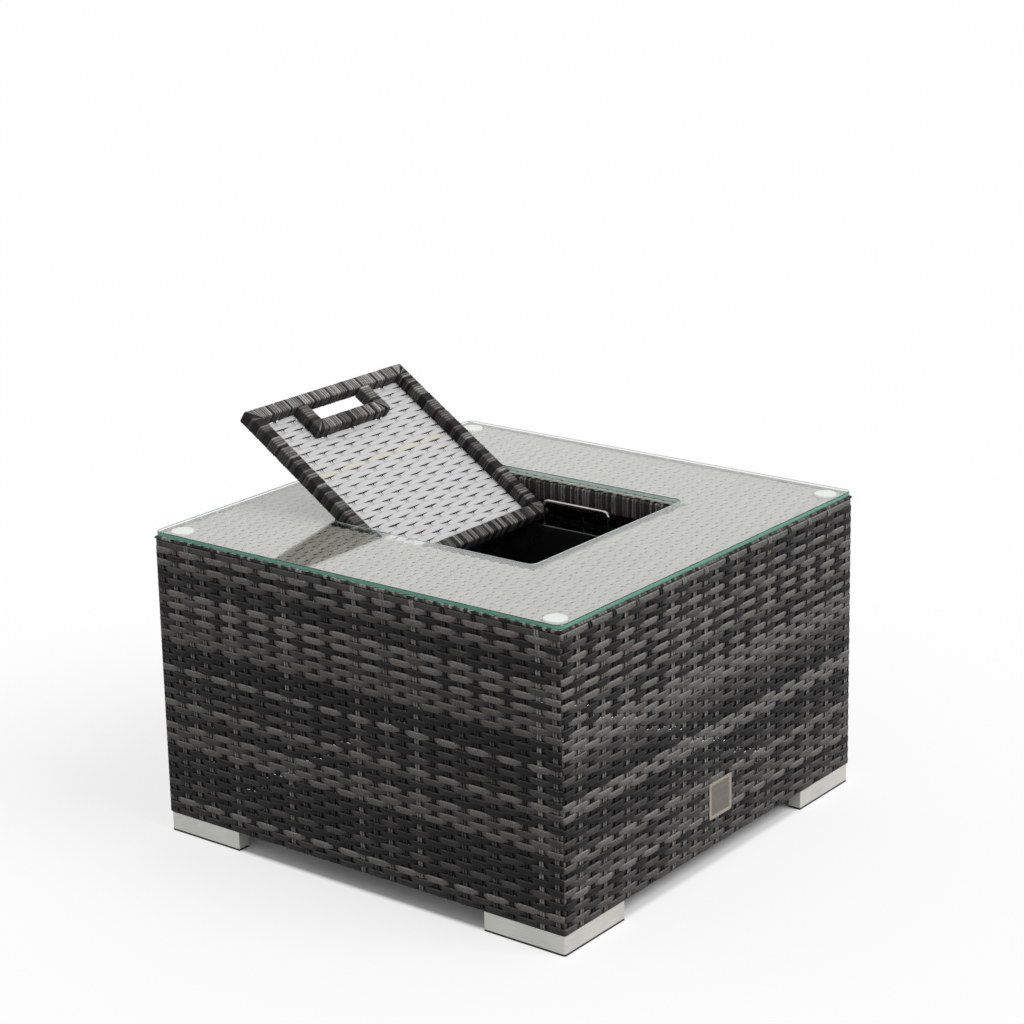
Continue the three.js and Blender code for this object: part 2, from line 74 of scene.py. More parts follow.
def colour(name, description, *screen):
    return FloatVectorProperty(
        name=name, description=description, subtype="COLOR", size=3, min=0, max=1, default=shade(*screen)
    )


def length(name, description, millimetres):
    return FloatProperty(
        name=name, description=description, unit="LENGTH", precision=5, default=millimetres * MM
    )


def degrees(name, description, turn):
    return FloatProperty(name=name, description=description, subtype="ANGLE", default=math.radians(turn))


def fraction(name, description, default):
    return FloatProperty(name=name, description=description, subtype="FACTOR", min=0, max=1, default=default)


def counted(name, description, default):
    return IntProperty(name=name, description=description, min=2, default=default)


def swelling(*shares):
    places = "Share of that width at six places, from under an upright to over one"
    return FloatVectorProperty(name="Swell", description=places, size=len(shares), default=shares)


class SideWeaveSizes(bpy.types.PropertyGroup):
    """Grey weave on the four sides"""

    uprights: counted("Uprights", "Uprights on the front and the right", 27)
    rows: counted("Rows", "Rows of flat strands on the front and the right", 48)
    left_uprights: counted("Left uprights", "Uprights on the left and the back", 28)
    left_rows: counted("Left rows", "Rows on the left and the back", 47)
    first_row: length("First row", "Top of the body down to the middle of the first row", 6.4)
    last_row: length("Last row", "Bottom of the weave up to the middle of the last row", 6.0)
    width: length("Strand width", "Width of a strand where it passes over an upright", 10.1)
    pinched: length("Pinched width", "Its width where it passes under one", 9.15)
    swell: swelling(0.0, 0.1, 0.25, 0.4, 0.8, 1.0)
    rise: length("Rise", "How much higher it lies over an upright", 0.0)
    # The paler rim is a painted highlight along the upper edge of each row
    rim: fraction("Rim", "How much paler its upper rim is", 0.3)
    thickness: length("Thickness", "Thickness of a strand", 1.5)
    swing: length("Swing", "How far a strand rises over and sinks under the uprights", 1.6)
    waver: length("Waver", "How far a strand strays from its row", 0.12)
    depth: length("Depth", "Outer face in to the middle of the weave", 2.85)
    upright_width: length("Upright width", "Width of one of the two strands of an upright", 3.8)
    upright_thickness: length("Upright thickness", "Thickness of an upright", 2.0)
    upright_swing: length("Upright swing", "How far an upright moves in and out", 0.65)
    corner_radius: length("Corner radius", "Bend of the strands round a corner", 6.0)


class EdgeSizes(bpy.types.PropertyGroup):
    """Wound edges of the sides, and the knots that cross the top row"""

    radius: length("Edge radius", "Half the thickness of a wound edge", 2.2)
    turn: length("Edge turn", "Width of one of its turns", 6.2)
    groove: length("Groove", "Depth of the groove between two turns", 0.4)
    top_rise: length("Top rise", "Top of the body up to the middle of the top edge", 1.0)
    top_inset: length("Top inset", "Outer face in to the middle of the top edge", 3.0)
    bottom_inset: length("Bottom inset", "Outer face in to the middle of the bottom edge", 4.0)
    knot_length: length("Knot length", "Length of a knot up the side", 12.5)
    knot_thickness: length("Knot thickness", "Thickness of its strands", 1.2)
    knot_foot: length("Knot foot", "Middle of the weave out to the foot of a knot", 0.9)
    knot_crest: length("Knot crest", "How far a knot bulges out from its foot", 1.7)
    knot_tuck: length("Knot tuck", "How far its upper end turns in", 2.4)
    knot_lean: length("Knot lean", "How far its upper end leans to the left", 2.0)


class WhiteWeaveSizes(bpy.types.PropertyGroup):
    """White weave of the top and of the lid"""

    row_pitch: length("Row pitch", "One row of the top to the next", 8.2)
    spacing: length("Upright spacing", "One upright of the top to the next", 25)
    lid_row_pitch: length("Lid row pitch", "One row of the lid to the next", 8.6)
    lid_spacing: length("Lid upright spacing", "One upright of the lid to the next", 29.5)
    width: length("Strand width", "Width of a strand where it passes over an upright", 9.3)
    pinched: length("Pinched width", "Its width where it passes under one", 6.8)
    swell: swelling(0.0, 0.35, 0.7, 0.85, 0.97, 1.0)
    rise: length("Rise", "How much higher it lies over an upright", 0.3)
    # The paler rim is a painted highlight along the upper edge of each row
    rim: fraction("Rim", "How much paler its upper rim is", 0.0)
    thickness: length("Thickness", "Thickness of a strand", 0.8)
    swing: length("Swing", "How far a strand rises over and sinks under the uprights", 0.8)
    waver: length("Waver", "How far a strand strays from its row", 0.14)
    upright_width: length("Upright width", "Width of one of the two strands of an upright", 3.4)
    upright_thickness: length("Upright thickness", "Thickness of an upright", 0.8)
    upright_swing: length("Upright swing", "How far an upright moves up and down", 0.2)


class WrapSizes(bpy.types.PropertyGroup):
    """Strands wound round the rails"""

    lid_turn: length("Lid turn", "Width of a turn on the lid", 4.3)
    opening_turn: length("Opening turn", "Width of a turn on the rails of the opening", 4.6)
    groove: length("Groove", "Depth of the groove between two turns", 1.0)
    radius: length("Edge radius", "Radius of a wrapped rail's edges", 3.6)
    # Side shade is painted shade: turns darker on the sides and underside of a rail than on its top
    side_shade: fraction("Side shade", "How much darker a turn is on the sides of a rail than on its top", 0.45)
    lid_tilt: degrees("Lid tilt", "Slope of the propped lid", 33.4)


class PlateSizes(bpy.types.PropertyGroup):
    """Bare metal plate on the front"""

    rim: length("Rim", "Width of its raised rim", 4.9)
    step: length("Step", "Width of the slope from the rim to the field", 0.4)
    sink: length("Sink", "How far the field lies below the rim", 0.32)
    corner: length("Corner", "Radius of its corners", 3.0)


class Finishes(bpy.types.PropertyGroup):
    """Colours of strands, glass, metal and plastic"""

    black_strand: colour("Black strand", "Darkest strands of the sides", 24, 24, 24)
    grey_strand: colour("Grey strand", "Middle strands of the sides", 78, 78, 77)
    pale_strand: colour("Pale strand", "Pale strands of the sides", 130, 130, 128)
    bleached_strand: colour("Bleached strand", "Palest spots of the grey strands", 182, 182, 179)
    rust: colour("Rust", "Small warm specks in the strands", 150, 104, 70)
    lid_strand: colour("Lid strand", "White strands of the lid", 196, 196, 197)
    lid_cream: colour("Lid cream", "The one cream strand of the lid", 200, 197, 180)
    top_strand: colour("Top strand", "Paler strands of the top", 170, 170, 166)
    top_cream: colour("Top cream", "Creamy strands of the top", 152, 150, 139)
    glass_clear: colour("Glass", "Clear faces of the glass", 251, 252, 250)
    glass_edge: colour("Glass edge", "Ground outer edges of the glass", 84, 156, 136)
    # The cut-out's edge colour is paler as painted light, for an edge that lies in shade
    inner_edge_painted_light: colour("Glass inner edge", "Ground edges of its cut-out", 224, 253, 244)
    glass_index: FloatProperty(
        name="Glass index", description="Index of refraction of the glass", min=1, default=1.65
    )
    strand_shine: fraction("Strand shine", "How strongly the grey strands mirror light", 0.14)
    bumper: colour("Bumper", "Clear discs under the glass", 226, 230, 226)
    frame_paint: colour("Frame paint", "Powder coat on the tubes", 44, 45, 47)
    aluminium: colour("Aluminium", "Feet", 212, 212, 205)
    plate_rim: colour("Plate rim", "Raised rim of the plate on the front", 170, 162, 146)
    plate_field: colour("Plate field", "Brushed field inside the rim", 118, 113, 105)
    steel: colour("Steel", "Bolts", 150, 151, 153)
    black_plastic: colour("Black plastic", "Glides", 26, 26, 27)
    black_paint: colour("Black paint", "Tub and ledges", 22, 22, 23)
    wire: colour("Wire", "Polished wire of the tub's loops", 205, 203, 198)


class StageSizes(bpy.types.PropertyGroup):
    """Camera, light and floor"""

    eye: FloatVectorProperty(
        name="Eye", description="Place of the camera", subtype="TRANSLATION", size=3,
        default=(-2.8102, -2.2045, 1.5406),
    )
    heading: degrees("Heading", "The camera's direction, from +X towards +Y", 37.315)
    dip: degrees("Dip", "How far it looks down", 14.914)
    roll: degrees("Roll", "Its turn about its own line of sight", -1.036)
    lens: FloatProperty(name="Lens", description="Focal length, in millimetres", default=93.67)
    film: FloatProperty(name="Film", description="Width of the sensor, in millimetres", default=36)
    shift: FloatVectorProperty(
        name="Shift", description="Lens shift across and up, as shares of the image", size=2,
        default=(-0.03, -0.1),
    )
    sky: FloatProperty(name="Sky", description="Strength of the light from all round", default=0.66, min=0)
    sun: FloatProperty(name="Lamp", description="Strength of the soft lamp", default=1.7, min=0)
    softness: FloatProperty(
        name="Lamp softness", description="Angle that the lamp spans in the sky", subtype="ANGLE", default=0.6
    )
    sun_way: FloatVectorProperty(
        name="Lamp direction", description="The way that its light goes", subtype="DIRECTION", size=3,
        default=(-0.16, 0.75, -0.85),
    )
    floor_size: FloatProperty(name="Floor", description="Half the floor's width", unit="LENGTH", default=40)
    floor_glow: fraction("Floor glow", "Share of plain white in what is seen of the floor", 0.7)
    bounce: fraction("Bounce", "Share of light that the floor throws back at the table", 0.4)
    floor: colour("Floor colour", "Floor in the light of the lamp and the sky", 246, 246, 246)
    backdrop: colour("Backdrop", "Floor and background where they glow", 255, 255, 255)


GROUPS = {
    "table_sides": SideWeaveSizes,
    "table_edges": EdgeSizes,
    "table_white": WhiteWeaveSizes,
    "table_wraps": WrapSizes,
    "table_plate": PlateSizes,
    "table_finishes": Finishes,
    "table_stage": StageSizes,
}


# Materials

class Value:
    """One output of a shader node. Sums on it add Math nodes."""

    def __init__(self, graph, socket):
        self.graph = graph
        self.socket = socket

    def maths(self, operation, first, second):
        return self.graph.node("ShaderNodeMath", {"operation": operation}, {0: first, 1: second})

    def __add__(self, other):
        return self.maths("ADD", self, other)

    def __radd__(self, other):
        return self.maths("ADD", other, self)

    def __sub__(self, other):
        return self.maths("SUBTRACT", self, other)

    def __rsub__(self, other):
        return self.maths("SUBTRACT", other, self)

    def __mul__(self, other):
        return self.maths("MULTIPLY", self, other)

    def __rmul__(self, other):
        return self.maths("MULTIPLY", other, self)

    def __abs__(self):
        return self.maths("ABSOLUTE", self, 0)

    def larger(self, other):
        return self.maths("MAXIMUM", self, other)


class Graph:
    """The node tree of one material, or of the world."""

    def __init__(self, name, world=False):
        self.owner = (bpy.data.worlds if world else bpy.data.materials).new(name)
        self.owner.use_nodes = True
        self.tree = self.owner.node_tree
        self.tree.nodes.clear()
        self.end = self.tree.nodes.new("ShaderNodeOutputWorld" if world else "ShaderNodeOutputMaterial")

    def node(self, kind, settings=None, inputs=None, output=0):
        """Adds a node, sets it up, and fills its sockets with values or links."""
        made = self.tree.nodes.new(kind)
        for name, value in (settings or {}).items():
            if name == "stops":
                elements = made.color_ramp.elements
                while len(elements) < len(value):
                    elements.new(0.5)
                for element, (place, tint) in zip(elements, value):
                    element.position = place
                    element.color = (*tint, 1)
            else:
                setattr(made, name, value)
        for key, value in (inputs or {}).items():
            socket = made.inputs[key]
            if isinstance(value, Value):
                self.tree.links.new(value.socket, socket)
            elif socket.type == "RGBA":
                socket.default_value = (*value, 1)
            else:
                socket.default_value = value
        return Value(self, made.outputs[output])

    def finish(self, surface):
        self.tree.links.new(surface.socket, self.end.inputs["Surface"])
        return self.owner

    def strand(self):
        """The tone of a strand, and the place on it: along it, across it and a shift of its own."""
        tone = self.node("ShaderNodeAttribute", {"attribute_name": "tone"}, output="Fac")
        return tone, self.node("ShaderNodeAttribute", {"attribute_name": "lay"}, output="Vector")

    def place(self):
        return self.node("ShaderNodeTexCoord", output="Object")

    def parts(self, vector):
        first = self.node("ShaderNodeSeparateXYZ", {}, {0: vector})
        return [Value(self, socket) for socket in first.socket.node.outputs]

    def rays(self, *kinds):
        """1 for rays of these kinds, 0 for the rest."""
        path = self.node("ShaderNodeLightPath").socket.node
        total = Value(self, path.outputs[kinds[0]])
        for kind in kinds[1:]:
            total = total.larger(Value(self, path.outputs[kind]))
        return total

    def noise(self, vector, scale, detail=2.0):
        """Noise with about so many waves in a metre along each axis."""
        stretched = self.node("ShaderNodeMapping", {}, {"Vector": vector, "Scale": scale})
        return self.node("ShaderNodeTexNoise", {}, {"Vector": stretched, "Scale": 1.0, "Detail": detail})

    def step(self, value, low, high):
        """From 0 at low to 1 at high, and level beyond both."""
        return self.node("ShaderNodeMapRange", {"clamp": True}, {0: value, 1: low, 2: high})

    def blend(self, factor, first, second, way="MIX"):
        kind = {"data_type": "RGBA", "blend_type": way}
        return self.node("ShaderNodeMix", kind, {0: factor, 6: first, 7: second}, 2)

    def ramp(self, factor, *stops):
        return self.node("ShaderNodeValToRGB", {"stops": stops}, {"Fac": factor})

    def bump(self, height, strength, distance):
        return self.node("ShaderNodeBump", {}, {"Height": height, "Strength": strength, "Distance": distance})

    def mix(self, factor, first, second):
        return self.node("ShaderNodeMixShader", {}, {0: factor, 1: first, 2: second})

    def surface(self, **inputs):
        named = {key.replace("_", " "): value for key, value in inputs.items()}
        return self.node("ShaderNodeBsdfPrincipled", {}, named)


def dimmed(tint, share):
    return tuple(share * value for value in tint)


# What streaks, mottling and wear add to a grey strand's tone, and how mottled the darkest strands are
STREAKS, MOTTLING, WEAR = 0.2, 1.6, 0.2
DARK_MOTTLING = 0.12
# Where a tone of 1 lies on the ramp of greys
PALE_END = 0.7
# Casts of strands that have gone a little yellow or blue, and of ripples and brush lines
WARM_CAST, COOL_CAST = (1.0, 0.97, 0.94), (0.96, 0.98, 1.0)
RIPPLE_CAST, BRUSH_CAST = (0.75, 0.82, 0.8), (0.72, 0.71, 0.68)
# How much rust a speck has, and how dull strands and metal get
SPECK_RUST = 0.65
DULL_STRAND, DULL_METAL = 0.84, 0.82


def strand_finish(given):
    """Grey plastic strands: a tone for each, mottled, warm or cool in places, with rusty specks."""
    graph = Graph("grey_strands")
    tone, lay = graph.strand()
    streaks = graph.noise(lay, (60, 620, 60), 3)
    mottle = graph.noise(lay, (640, 800, 60), 3)
    wear = graph.noise(lay, (60, 90, 90), 1)
    brushed = (streaks - 0.5) * STREAKS
    mottled = (mottle - 0.5) * MOTTLING * (DARK_MOTTLING + tone)
    worn = (wear - 0.5) * WEAR
    base = graph.ramp(
        PALE_END * (tone + brushed + mottled + worn),
        (0.0, given.black_strand), (PALE_END / 2, given.grey_strand),
        (PALE_END, given.pale_strand), (1.0, given.bleached_strand),
    )
    cast = graph.noise(lay, (38, 70, 90), 1)
    warmed = graph.blend(graph.step(cast, 0.55, 0.75), base, WARM_CAST, "MULTIPLY")
    cooled = graph.blend(graph.step(cast, 0.47, 0.3), warmed, COOL_CAST, "MULTIPLY")
    spots = graph.noise(lay, (400, 560, 90), 1)
    speck = graph.step(spots, 0.64, 0.7) * graph.step(tone, 0.1, 0.6)
    skin = graph.surface(
        Base_Color=graph.blend(SPECK_RUST * speck, cooled, given.rust),
        Roughness=0.42 + 0.28 * mottle,
        Normal=graph.bump(streaks + 0.8 * mottle, 0.55, 0.35 * MM),
        Specular_IOR_Level=given.strand_shine,
    )
    return graph.finish(skin)


def grey_strands(context):
    """The finish of the grey strands, made once."""
    return bpy.data.materials.get("grey_strands") or strand_finish(context.scene.table_finishes)


def white_finish(name, white, cream, gap_shade_and_back):
    """White strand with faint streaks. Tone 1 is cream; below -1 is the dark colour, for painted shade in
    gaps and the lid's grey layer.
    """
    graph = Graph(name)
    tone, lay = graph.strand()
    streaks = graph.noise(lay, (18, 520, 60), 3)
    mottle = graph.noise(lay, (60, 120, 60))
    tinted = graph.blend(graph.step(tone, 0, 1), white, cream)
    dull = dimmed(white, DULL_STRAND)
    streaked = graph.blend(0.45 * graph.step(streaks + mottle, 0.8, 1.3), tinted, dull)
    skin = graph.surface(
        Base_Color=graph.blend(graph.step(0 - tone, 0.75, 1.1), streaked, gap_shade_and_back),
        Roughness=0.42 + 0.2 * mottle,
        Normal=graph.bump(streaks, 0.35, 0.25 * MM),
        Specular_IOR_Level=0.35,
    )
    return graph.finish(skin)


def metal_finish(name, tint, roughness, grain, metallic):
    """Metal with fine brush lines and a faint cloudiness."""
    graph = Graph(name)
    lines = graph.noise(graph.place(), grain, 3)
    cloud = graph.noise(graph.place(), (14, 14, 14))
    skin = graph.surface(
        Base_Color=graph.blend(graph.step(lines + cloud, 0.75, 1.25), dimmed(tint, DULL_METAL), tint),
        Roughness=roughness + 0.16 * lines,
        Metallic=metallic,
        Normal=graph.bump(lines, 0.12, 0.2 * MM),
    )
    return graph.finish(skin)


def coat_finish(name, tint, roughness, shine, dust_tint):
    """Paint or plastic with fine grain and a little dust."""
    graph = Graph(name)
    grain = graph.noise(graph.place(), (900, 900, 900))
    dust = graph.noise(graph.place(), (22, 22, 22), 3)
    skin = graph.surface(
        Base_Color=graph.blend(0.35 * graph.step(dust, 0.52, 0.75), tint, dust_tint),
        Roughness=roughness + 0.14 * dust,
        Normal=graph.bump(grain, 0.15, 0.1 * MM),
        Specular_IOR_Level=shine,
    )
    return graph.finish(skin)


def glass_finish(given):
    """Clear faces that let the light through, and ground green edges, painted paler round the cut-out as
    light on its shaded edge.
    """
    graph = Graph("clear_glass")
    normal = graph.parts(graph.node("ShaderNodeNewGeometry", output="Normal"))
    x, y, _ = graph.parts(graph.place())
    edge = graph.step(abs(normal[2]), 0.7, 0.6)
    outside = graph.step(abs(x).larger(abs(y)), 0.22, 0.3)
    ripple = graph.noise(graph.place(), (160, 160, 30))
    # Paler inner edge: painted light on the shaded edge of the cut-out
    tint = graph.blend(outside, given.inner_edge_painted_light, given.glass_edge)
    ground = graph.surface(
        Base_Color=graph.blend(graph.step(ripple, 0.5, 0.8), tint, RIPPLE_CAST, "MULTIPLY"),
        Roughness=0.35 + 0.1 * ripple,
    )
    clear = graph.surface(
        Base_Color=given.glass_clear, Roughness=0.0, IOR=given.glass_index, Transmission_Weight=1.0
    )
    through = graph.node("ShaderNodeBsdfTransparent", {}, {"Color": given.glass_clear})
    face = graph.mix(graph.rays("Is Shadow Ray", "Is Diffuse Ray"), clear, through)
    return graph.finish(graph.mix(edge, face, ground))


def plate_finish(given, centre, half_field):
    """A paler rim round a brushed field, about a centre on the front."""
    graph = Graph("plate_finish")
    x, _, z = graph.parts(graph.place())
    away = abs(x - centre.x).larger(abs(z - centre.z))
    lines = graph.noise(graph.place(), (30, 900, 1500), 3)
    cloud = graph.noise(graph.place(), (160, 160, 160))
    rim = graph.step(away, half_field - 0.2 * MM, half_field + 0.2 * MM)
    metal = graph.blend(rim, given.plate_field, given.plate_rim)
    dull = graph.blend(1.0, metal, BRUSH_CAST, "MULTIPLY")
    skin = graph.surface(
        Base_Color=graph.blend(graph.step(lines + 0.5 * cloud, 0.55, 0.95), dull, metal),
        Roughness=0.3 + 0.2 * lines,
        Metallic=0.5,
        Normal=graph.bump(lines, 0.15, 0.2 * MM),
    )
    return graph.finish(skin)


def each(kind, *places):
    """The names of a node's copies."""
    return [f"{kind}_{place}" for place in places]


def paint(finish, nodes):
    """Gives packed nodes their finish."""
    for name in nodes:
        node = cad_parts[name]
        if node.material_slots:
            for slot in node.material_slots:
                slot.material = finish
        else:
            node.data.materials.append(finish)


# Strands

def coordinates(mesh):
    places = np.empty(len(mesh.vertices) * 3)
    mesh.vertices.foreach_get("co", places)
    return places.reshape(-1, 3)


PRISMS = {}


def prism(corners, steps):
    """A capped prism cut across into steps, with the corner and the cut on which each of its points lies."""
    if (corners, steps) not in PRISMS:
        bm = bmesh.new()
        bmesh.ops.create_cone(bm, cap_ends=True, segments=corners, radius1=1, radius2=1, depth=steps)
        if steps > 1:
            lines = [edge for edge in bm.edges if abs(edge.verts[0].co.z - edge.verts[1].co.z) > steps / 2]
            bmesh.ops.subdivide_edges(bm, edges=lines, cuts=steps - 1)
        mesh = bpy.data.meshes.new("prism")
        bm.to_mesh(mesh)
        bm.free()
        place = coordinates(mesh)
        turn = np.arctan2(place[:, 0], place[:, 1]) / (2 * math.pi)
        corner = np.rint(turn * corners).astype(int) % corners
        station = np.rint(place[:, 2] + steps / 2).astype(int)
        PRISMS[corners, steps] = mesh, corner, station
    return PRISMS[corners, steps]


class Piece:
    """Strands gathered into one mesh. Each is a prism bent along its own route."""

    def __init__(self, name):
        self.name = name
        self.bm = bmesh.new()
        self.places = []
        self.tones = []
        self.lays = []

    def add(self, rings, tone, run, across, shift):
        """rings[strand, station, corner] are points, and the other values fit that shape."""
        whole = rings.shape[:3]
        mesh, corner, station = prism(whole[2], whole[1] - 1)
        for _ in range(whole[0]):
            self.bm.from_mesh(mesh)
        self.places.append(rings[:, station, corner].reshape(-1, 3))
        self.tones.append(np.broadcast_to(tone, whole)[:, station, corner].ravel())
        lay = np.stack([np.broadcast_to(values, whole) for values in (run, across, shift)], axis=-1)
        self.lays.append(lay[:, station, corner].reshape(-1, 3))

    def make(self, finish, slot, body, *nodes):
        mesh = bpy.data.meshes.new(self.name)
        self.bm.to_mesh(mesh)
        self.bm.free()
        mesh.vertices.foreach_set("co", np.concatenate(self.places).astype(np.float32).ravel())
        tone = mesh.attributes.new("tone", "FLOAT", "POINT")
        tone.data.foreach_set("value", np.concatenate(self.tones).astype(np.float32))
        lay = mesh.attributes.new("lay", "FLOAT_VECTOR", "POINT")
        lay.data.foreach_set("vector", np.concatenate(self.lays).astype(np.float32).ravel())
        return finished(self.name, mesh, finish, slot, body, *nodes)


def finished(name, mesh, finish, slot, body, *nodes):
    """Turns the faces of a mesh outwards and makes it a piece of that body in place of the nodes."""
    bm = bmesh.new()
    bm.from_mesh(mesh)
    bmesh.ops.recalc_face_normals(bm, faces=bm.faces)
    for face in bm.faces:
        face.smooth = len(face.verts) == 4
    bm.to_mesh(mesh)
    bm.free()
    made = bpy.data.objects.new(name, mesh)
    bpy.context.scene.collection.objects.link(made)
    mesh.materials.append(finish)
    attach(made, body)
    if nodes:
        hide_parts(*nodes)
    return made


def turned(points, quarters, centre=(0, 0, 0)):
    """Points turned by quarters about Z and then moved to their centre."""
    return points @ np.array(Matrix.Rotation(quarters * QUARTER, 3, "Z")).T + np.array(centre)


# A flat strand seen on end: shares of half its width and half its thickness, round from its underside
STRAND = np.array(
    [(-0.6, -0.9), (-1.0, -0.1), (-0.8, 0.75), (0.3, 1.0), (0.84, 0.8), (1.0, -0.1), (0.6, -0.9)]
)
# How much painted shade each of those points gets, also where an upright's two strands meet, and where the
# painted highlight of the upper rim is
EDGES = np.array([1.0, 1.0, 0.12, 0.0, 0.12, 1.0, 1.0])
INNER_EDGES = np.array([1.0, 1.0, 0.5, 0.0, 0.8, 1.0, 1.0])
PAINTED_RIM_HIGHLIGHT = np.array([0.0, 0.0, 0.0, 0.0, 1.0, 0.0, 0.0])
# A row's beat goes from -1 under an upright to 1 over one. Its swell is given at these beats
SWELL_BEATS = (-1.0, -0.87, -0.5, 0.0, 0.5, 1.0)
# Stations of a row from one upright to the next, and how much its width differs from crossing to crossing
ROW_STATIONS = 6
CROSSING_SPREAD = 0.12
# How steeply a row climbs, and how far below a beat of 0 it is halfway up
CLIMB, CLIMB_LEAD = 2.2, 0.35
# What a straight row keeps of its swell and of its swing all along
STRAIGHT_SWELL, STRAIGHT_SWING = 0.75, 0.3
# The beat below which a row gets painted shade near the upright that covers it, and how fast that grows
COVERED_BEAT, COVERED_FADE = -0.6, 0.5
# How much of its half of an upright a strand fills, and how much painted shade its outer edge gets against a
# row's
UPRIGHT_FILL, OUTER_EDGE = 0.94, 0.5
# Half waves of which a strand's waver is made
WAVES = (3, 7, 11, 17)
# Strands are shifted in their pattern by up to this many metres, so that no two look alike
PATTERN_SHIFT = 40


def wavering(rng, strands, places, reach):
    """A slow waver for each strand that dies out at its ends."""
    phase = (places - places[0]) / (places[-1] - places[0]) * math.pi
    total = np.zeros((strands, len(places)))
    for waves in WAVES:
        total += rng.normal(size=(strands, 1)) * np.sin(waves * phase) / math.sqrt(waves)
    return reach * total


def flat_strands(piece, rng, along, level, out, half_width, half_thickness, tones, soil, place):
    """Strands along the first axis, side by side on the second, facing the third, with painted shade at their
    edges.
    """
    across = half_width[..., None] * STRAND[:, 0]
    points = np.broadcast_arrays(
        along[..., None], level[..., None] + across, out[..., None] + half_thickness * STRAND[:, 1]
    )
    shift = rng.uniform(0, PATTERN_SHIFT, size=(len(level), 1, 1))
    piece.add(place(np.stack(points, axis=-1)), tones[..., None] - soil, along[..., None], across, shift)


class Weave:
    """Rows and uprights on one grid. Painted shade darkens the edges of rows and of uprights, and what rows
    cover.
    """

    def __init__(self, piece, rng, given, first, spacing, soil, place):
        self.piece = piece
        self.rng = rng
        self.given = given
        self.first = first
        self.spacing = spacing
        self.row_soil, self.upright_soil, self.upright_covered_shade = soil
        self.place = place

    def add_rows(self, rows, levels, ends, tones, straight=0):
        """Numbered rows that pass over and under the uprights. The first straight ones keep their width."""
        given = self.given
        start, stop = ends
        cuts = max(2, round((stop - start) / self.spacing * ROW_STATIONS))
        along = np.linspace(start, stop, cuts + 1)
        beat = np.cos(math.pi * ((along - self.first) / self.spacing + rows[:, None]))
        over = np.tanh(CLIMB * (beat + CLIMB_LEAD))
        crossings = self.rng.normal(size=(len(rows), int((stop - start) / self.spacing) + 3))
        crossing = crossings[:, np.rint((along - start) / self.spacing).astype(int)]
        plain = np.arange(len(rows))[:, None] < straight
        swell = np.interp(beat, SWELL_BEATS, given.swell) * (1 + CROSSING_SPREAD * crossing * (beat > 0))
        swell = np.where(plain, STRAIGHT_SWELL, swell)
        half_width = (given.pinched + (given.width - given.pinched) * swell) / 2
        level = levels[:, None] + given.rise * over + wavering(self.rng, len(rows), along, given.waver)
        out = given.swing * np.where(plain, STRAIGHT_SWING, over)
        # Painted shade where an upright covers the row and along its edges, less a painted highlight on its
        # upper rim
        covered = np.clip((COVERED_BEAT - beat) / COVERED_FADE, 0, 1) * ~plain
        shades = tones[:, None] - self.row_soil * covered
        edges = self.row_soil * EDGES - given.rim * PAINTED_RIM_HIGHLIGHT
        flat_strands(
            self.piece, self.rng, along, level, out, half_width, given.thickness / 2, shades, edges,
            self.place,
        )

    def add_uprights(self, places, rows, levels, tones, stations=2):
        """Uprights of two strands each past the numbered rows, with painted shade where a row covers them and
        just above it.
        """
        given = self.given
        ends = (-0.5, len(levels) - 0.5)
        row = np.unique(np.append(ends, np.arange(stations * len(levels)) / stations))
        along = levels[0] - (levels[0] - levels[1]) * row
        beat = math.pi * (np.rint((places - self.first) / self.spacing)[:, None] + rows[0] + row)
        covered, above = np.cos(beat), np.sin(beat)
        out = -given.upright_swing * covered
        half = given.upright_width / 2
        for side, strand_tones in zip((-1, 1), tones):
            level = places[:, None] + side * half + wavering(self.rng, len(places), along, given.waver)
            half_width = np.full(level.shape, UPRIGHT_FILL * half)
            # Painted shade where a row covers the upright and just above it, and on its edges, darkest where
            # its two strands meet
            shades = strand_tones[:, None] - self.upright_covered_shade * np.clip(covered + above, 0, 1)
            edges = self.upright_soil * np.where(side * STRAND[:, 0] < 0, INNER_EDGES, OUTER_EDGE * EDGES)
            flat_strands(
                self.piece, self.rng, along, level, out, half_width, given.upright_thickness / 2, shades,
                edges, lambda rings: self.place(rings[..., [1, 0, 2]]),
            )


# Shades of strands, and their order on two sides: rows from the top down, uprights from left to right
SHADES = {"d": 0.0, "c": 0.17, "m": 0.34, "g": 0.52, "l": 0.7}
ORDERS = (
    ("ldmdldgldldlmdldlgllgcmmdddllldddmdclgdgmgldmcgm", "dldgdlmddllllldgdglccdlclml"),
    ("mldlmdcdlmldlcgggddddldcdmdlmddlmggddcdddmddlcc", "mgggdlcmdlmdddlmgdlddmdmddlg"),
)
# Painted shade on the rows' edges, on the uprights' edges and on what rows cover
SIDE_PAINTED_SHADE = (0.25, 0.3, 0.3)
# How far the tones of rows and of uprights stray from their shades
ROW_SPREAD, UPRIGHT_SPREAD = 0.03, 0.04
# How much paler the two palest shades get on uprights, and what an upright's second strand may lose
PALE_GAIN = 0.3
SECOND_LOSSES = (0, 0.15)
# Where each piece's random draws start
SEEDS = {"sides": 20, "top": 31, "lid": 41, "edges": 60, "lid_rails": 80, "grip": 90, "opening": 100}


def side_shades(given, side):
    """Shades of a side's rows and uprights. The right has the front's order, and the back the left's."""
    counts = ((given.rows, given.uprights), (given.left_rows, given.left_uprights))[side // 2]
    for order, number in zip(ORDERS[side // 2], counts):
        yield np.resize([SHADES[letter] for letter in order], number)


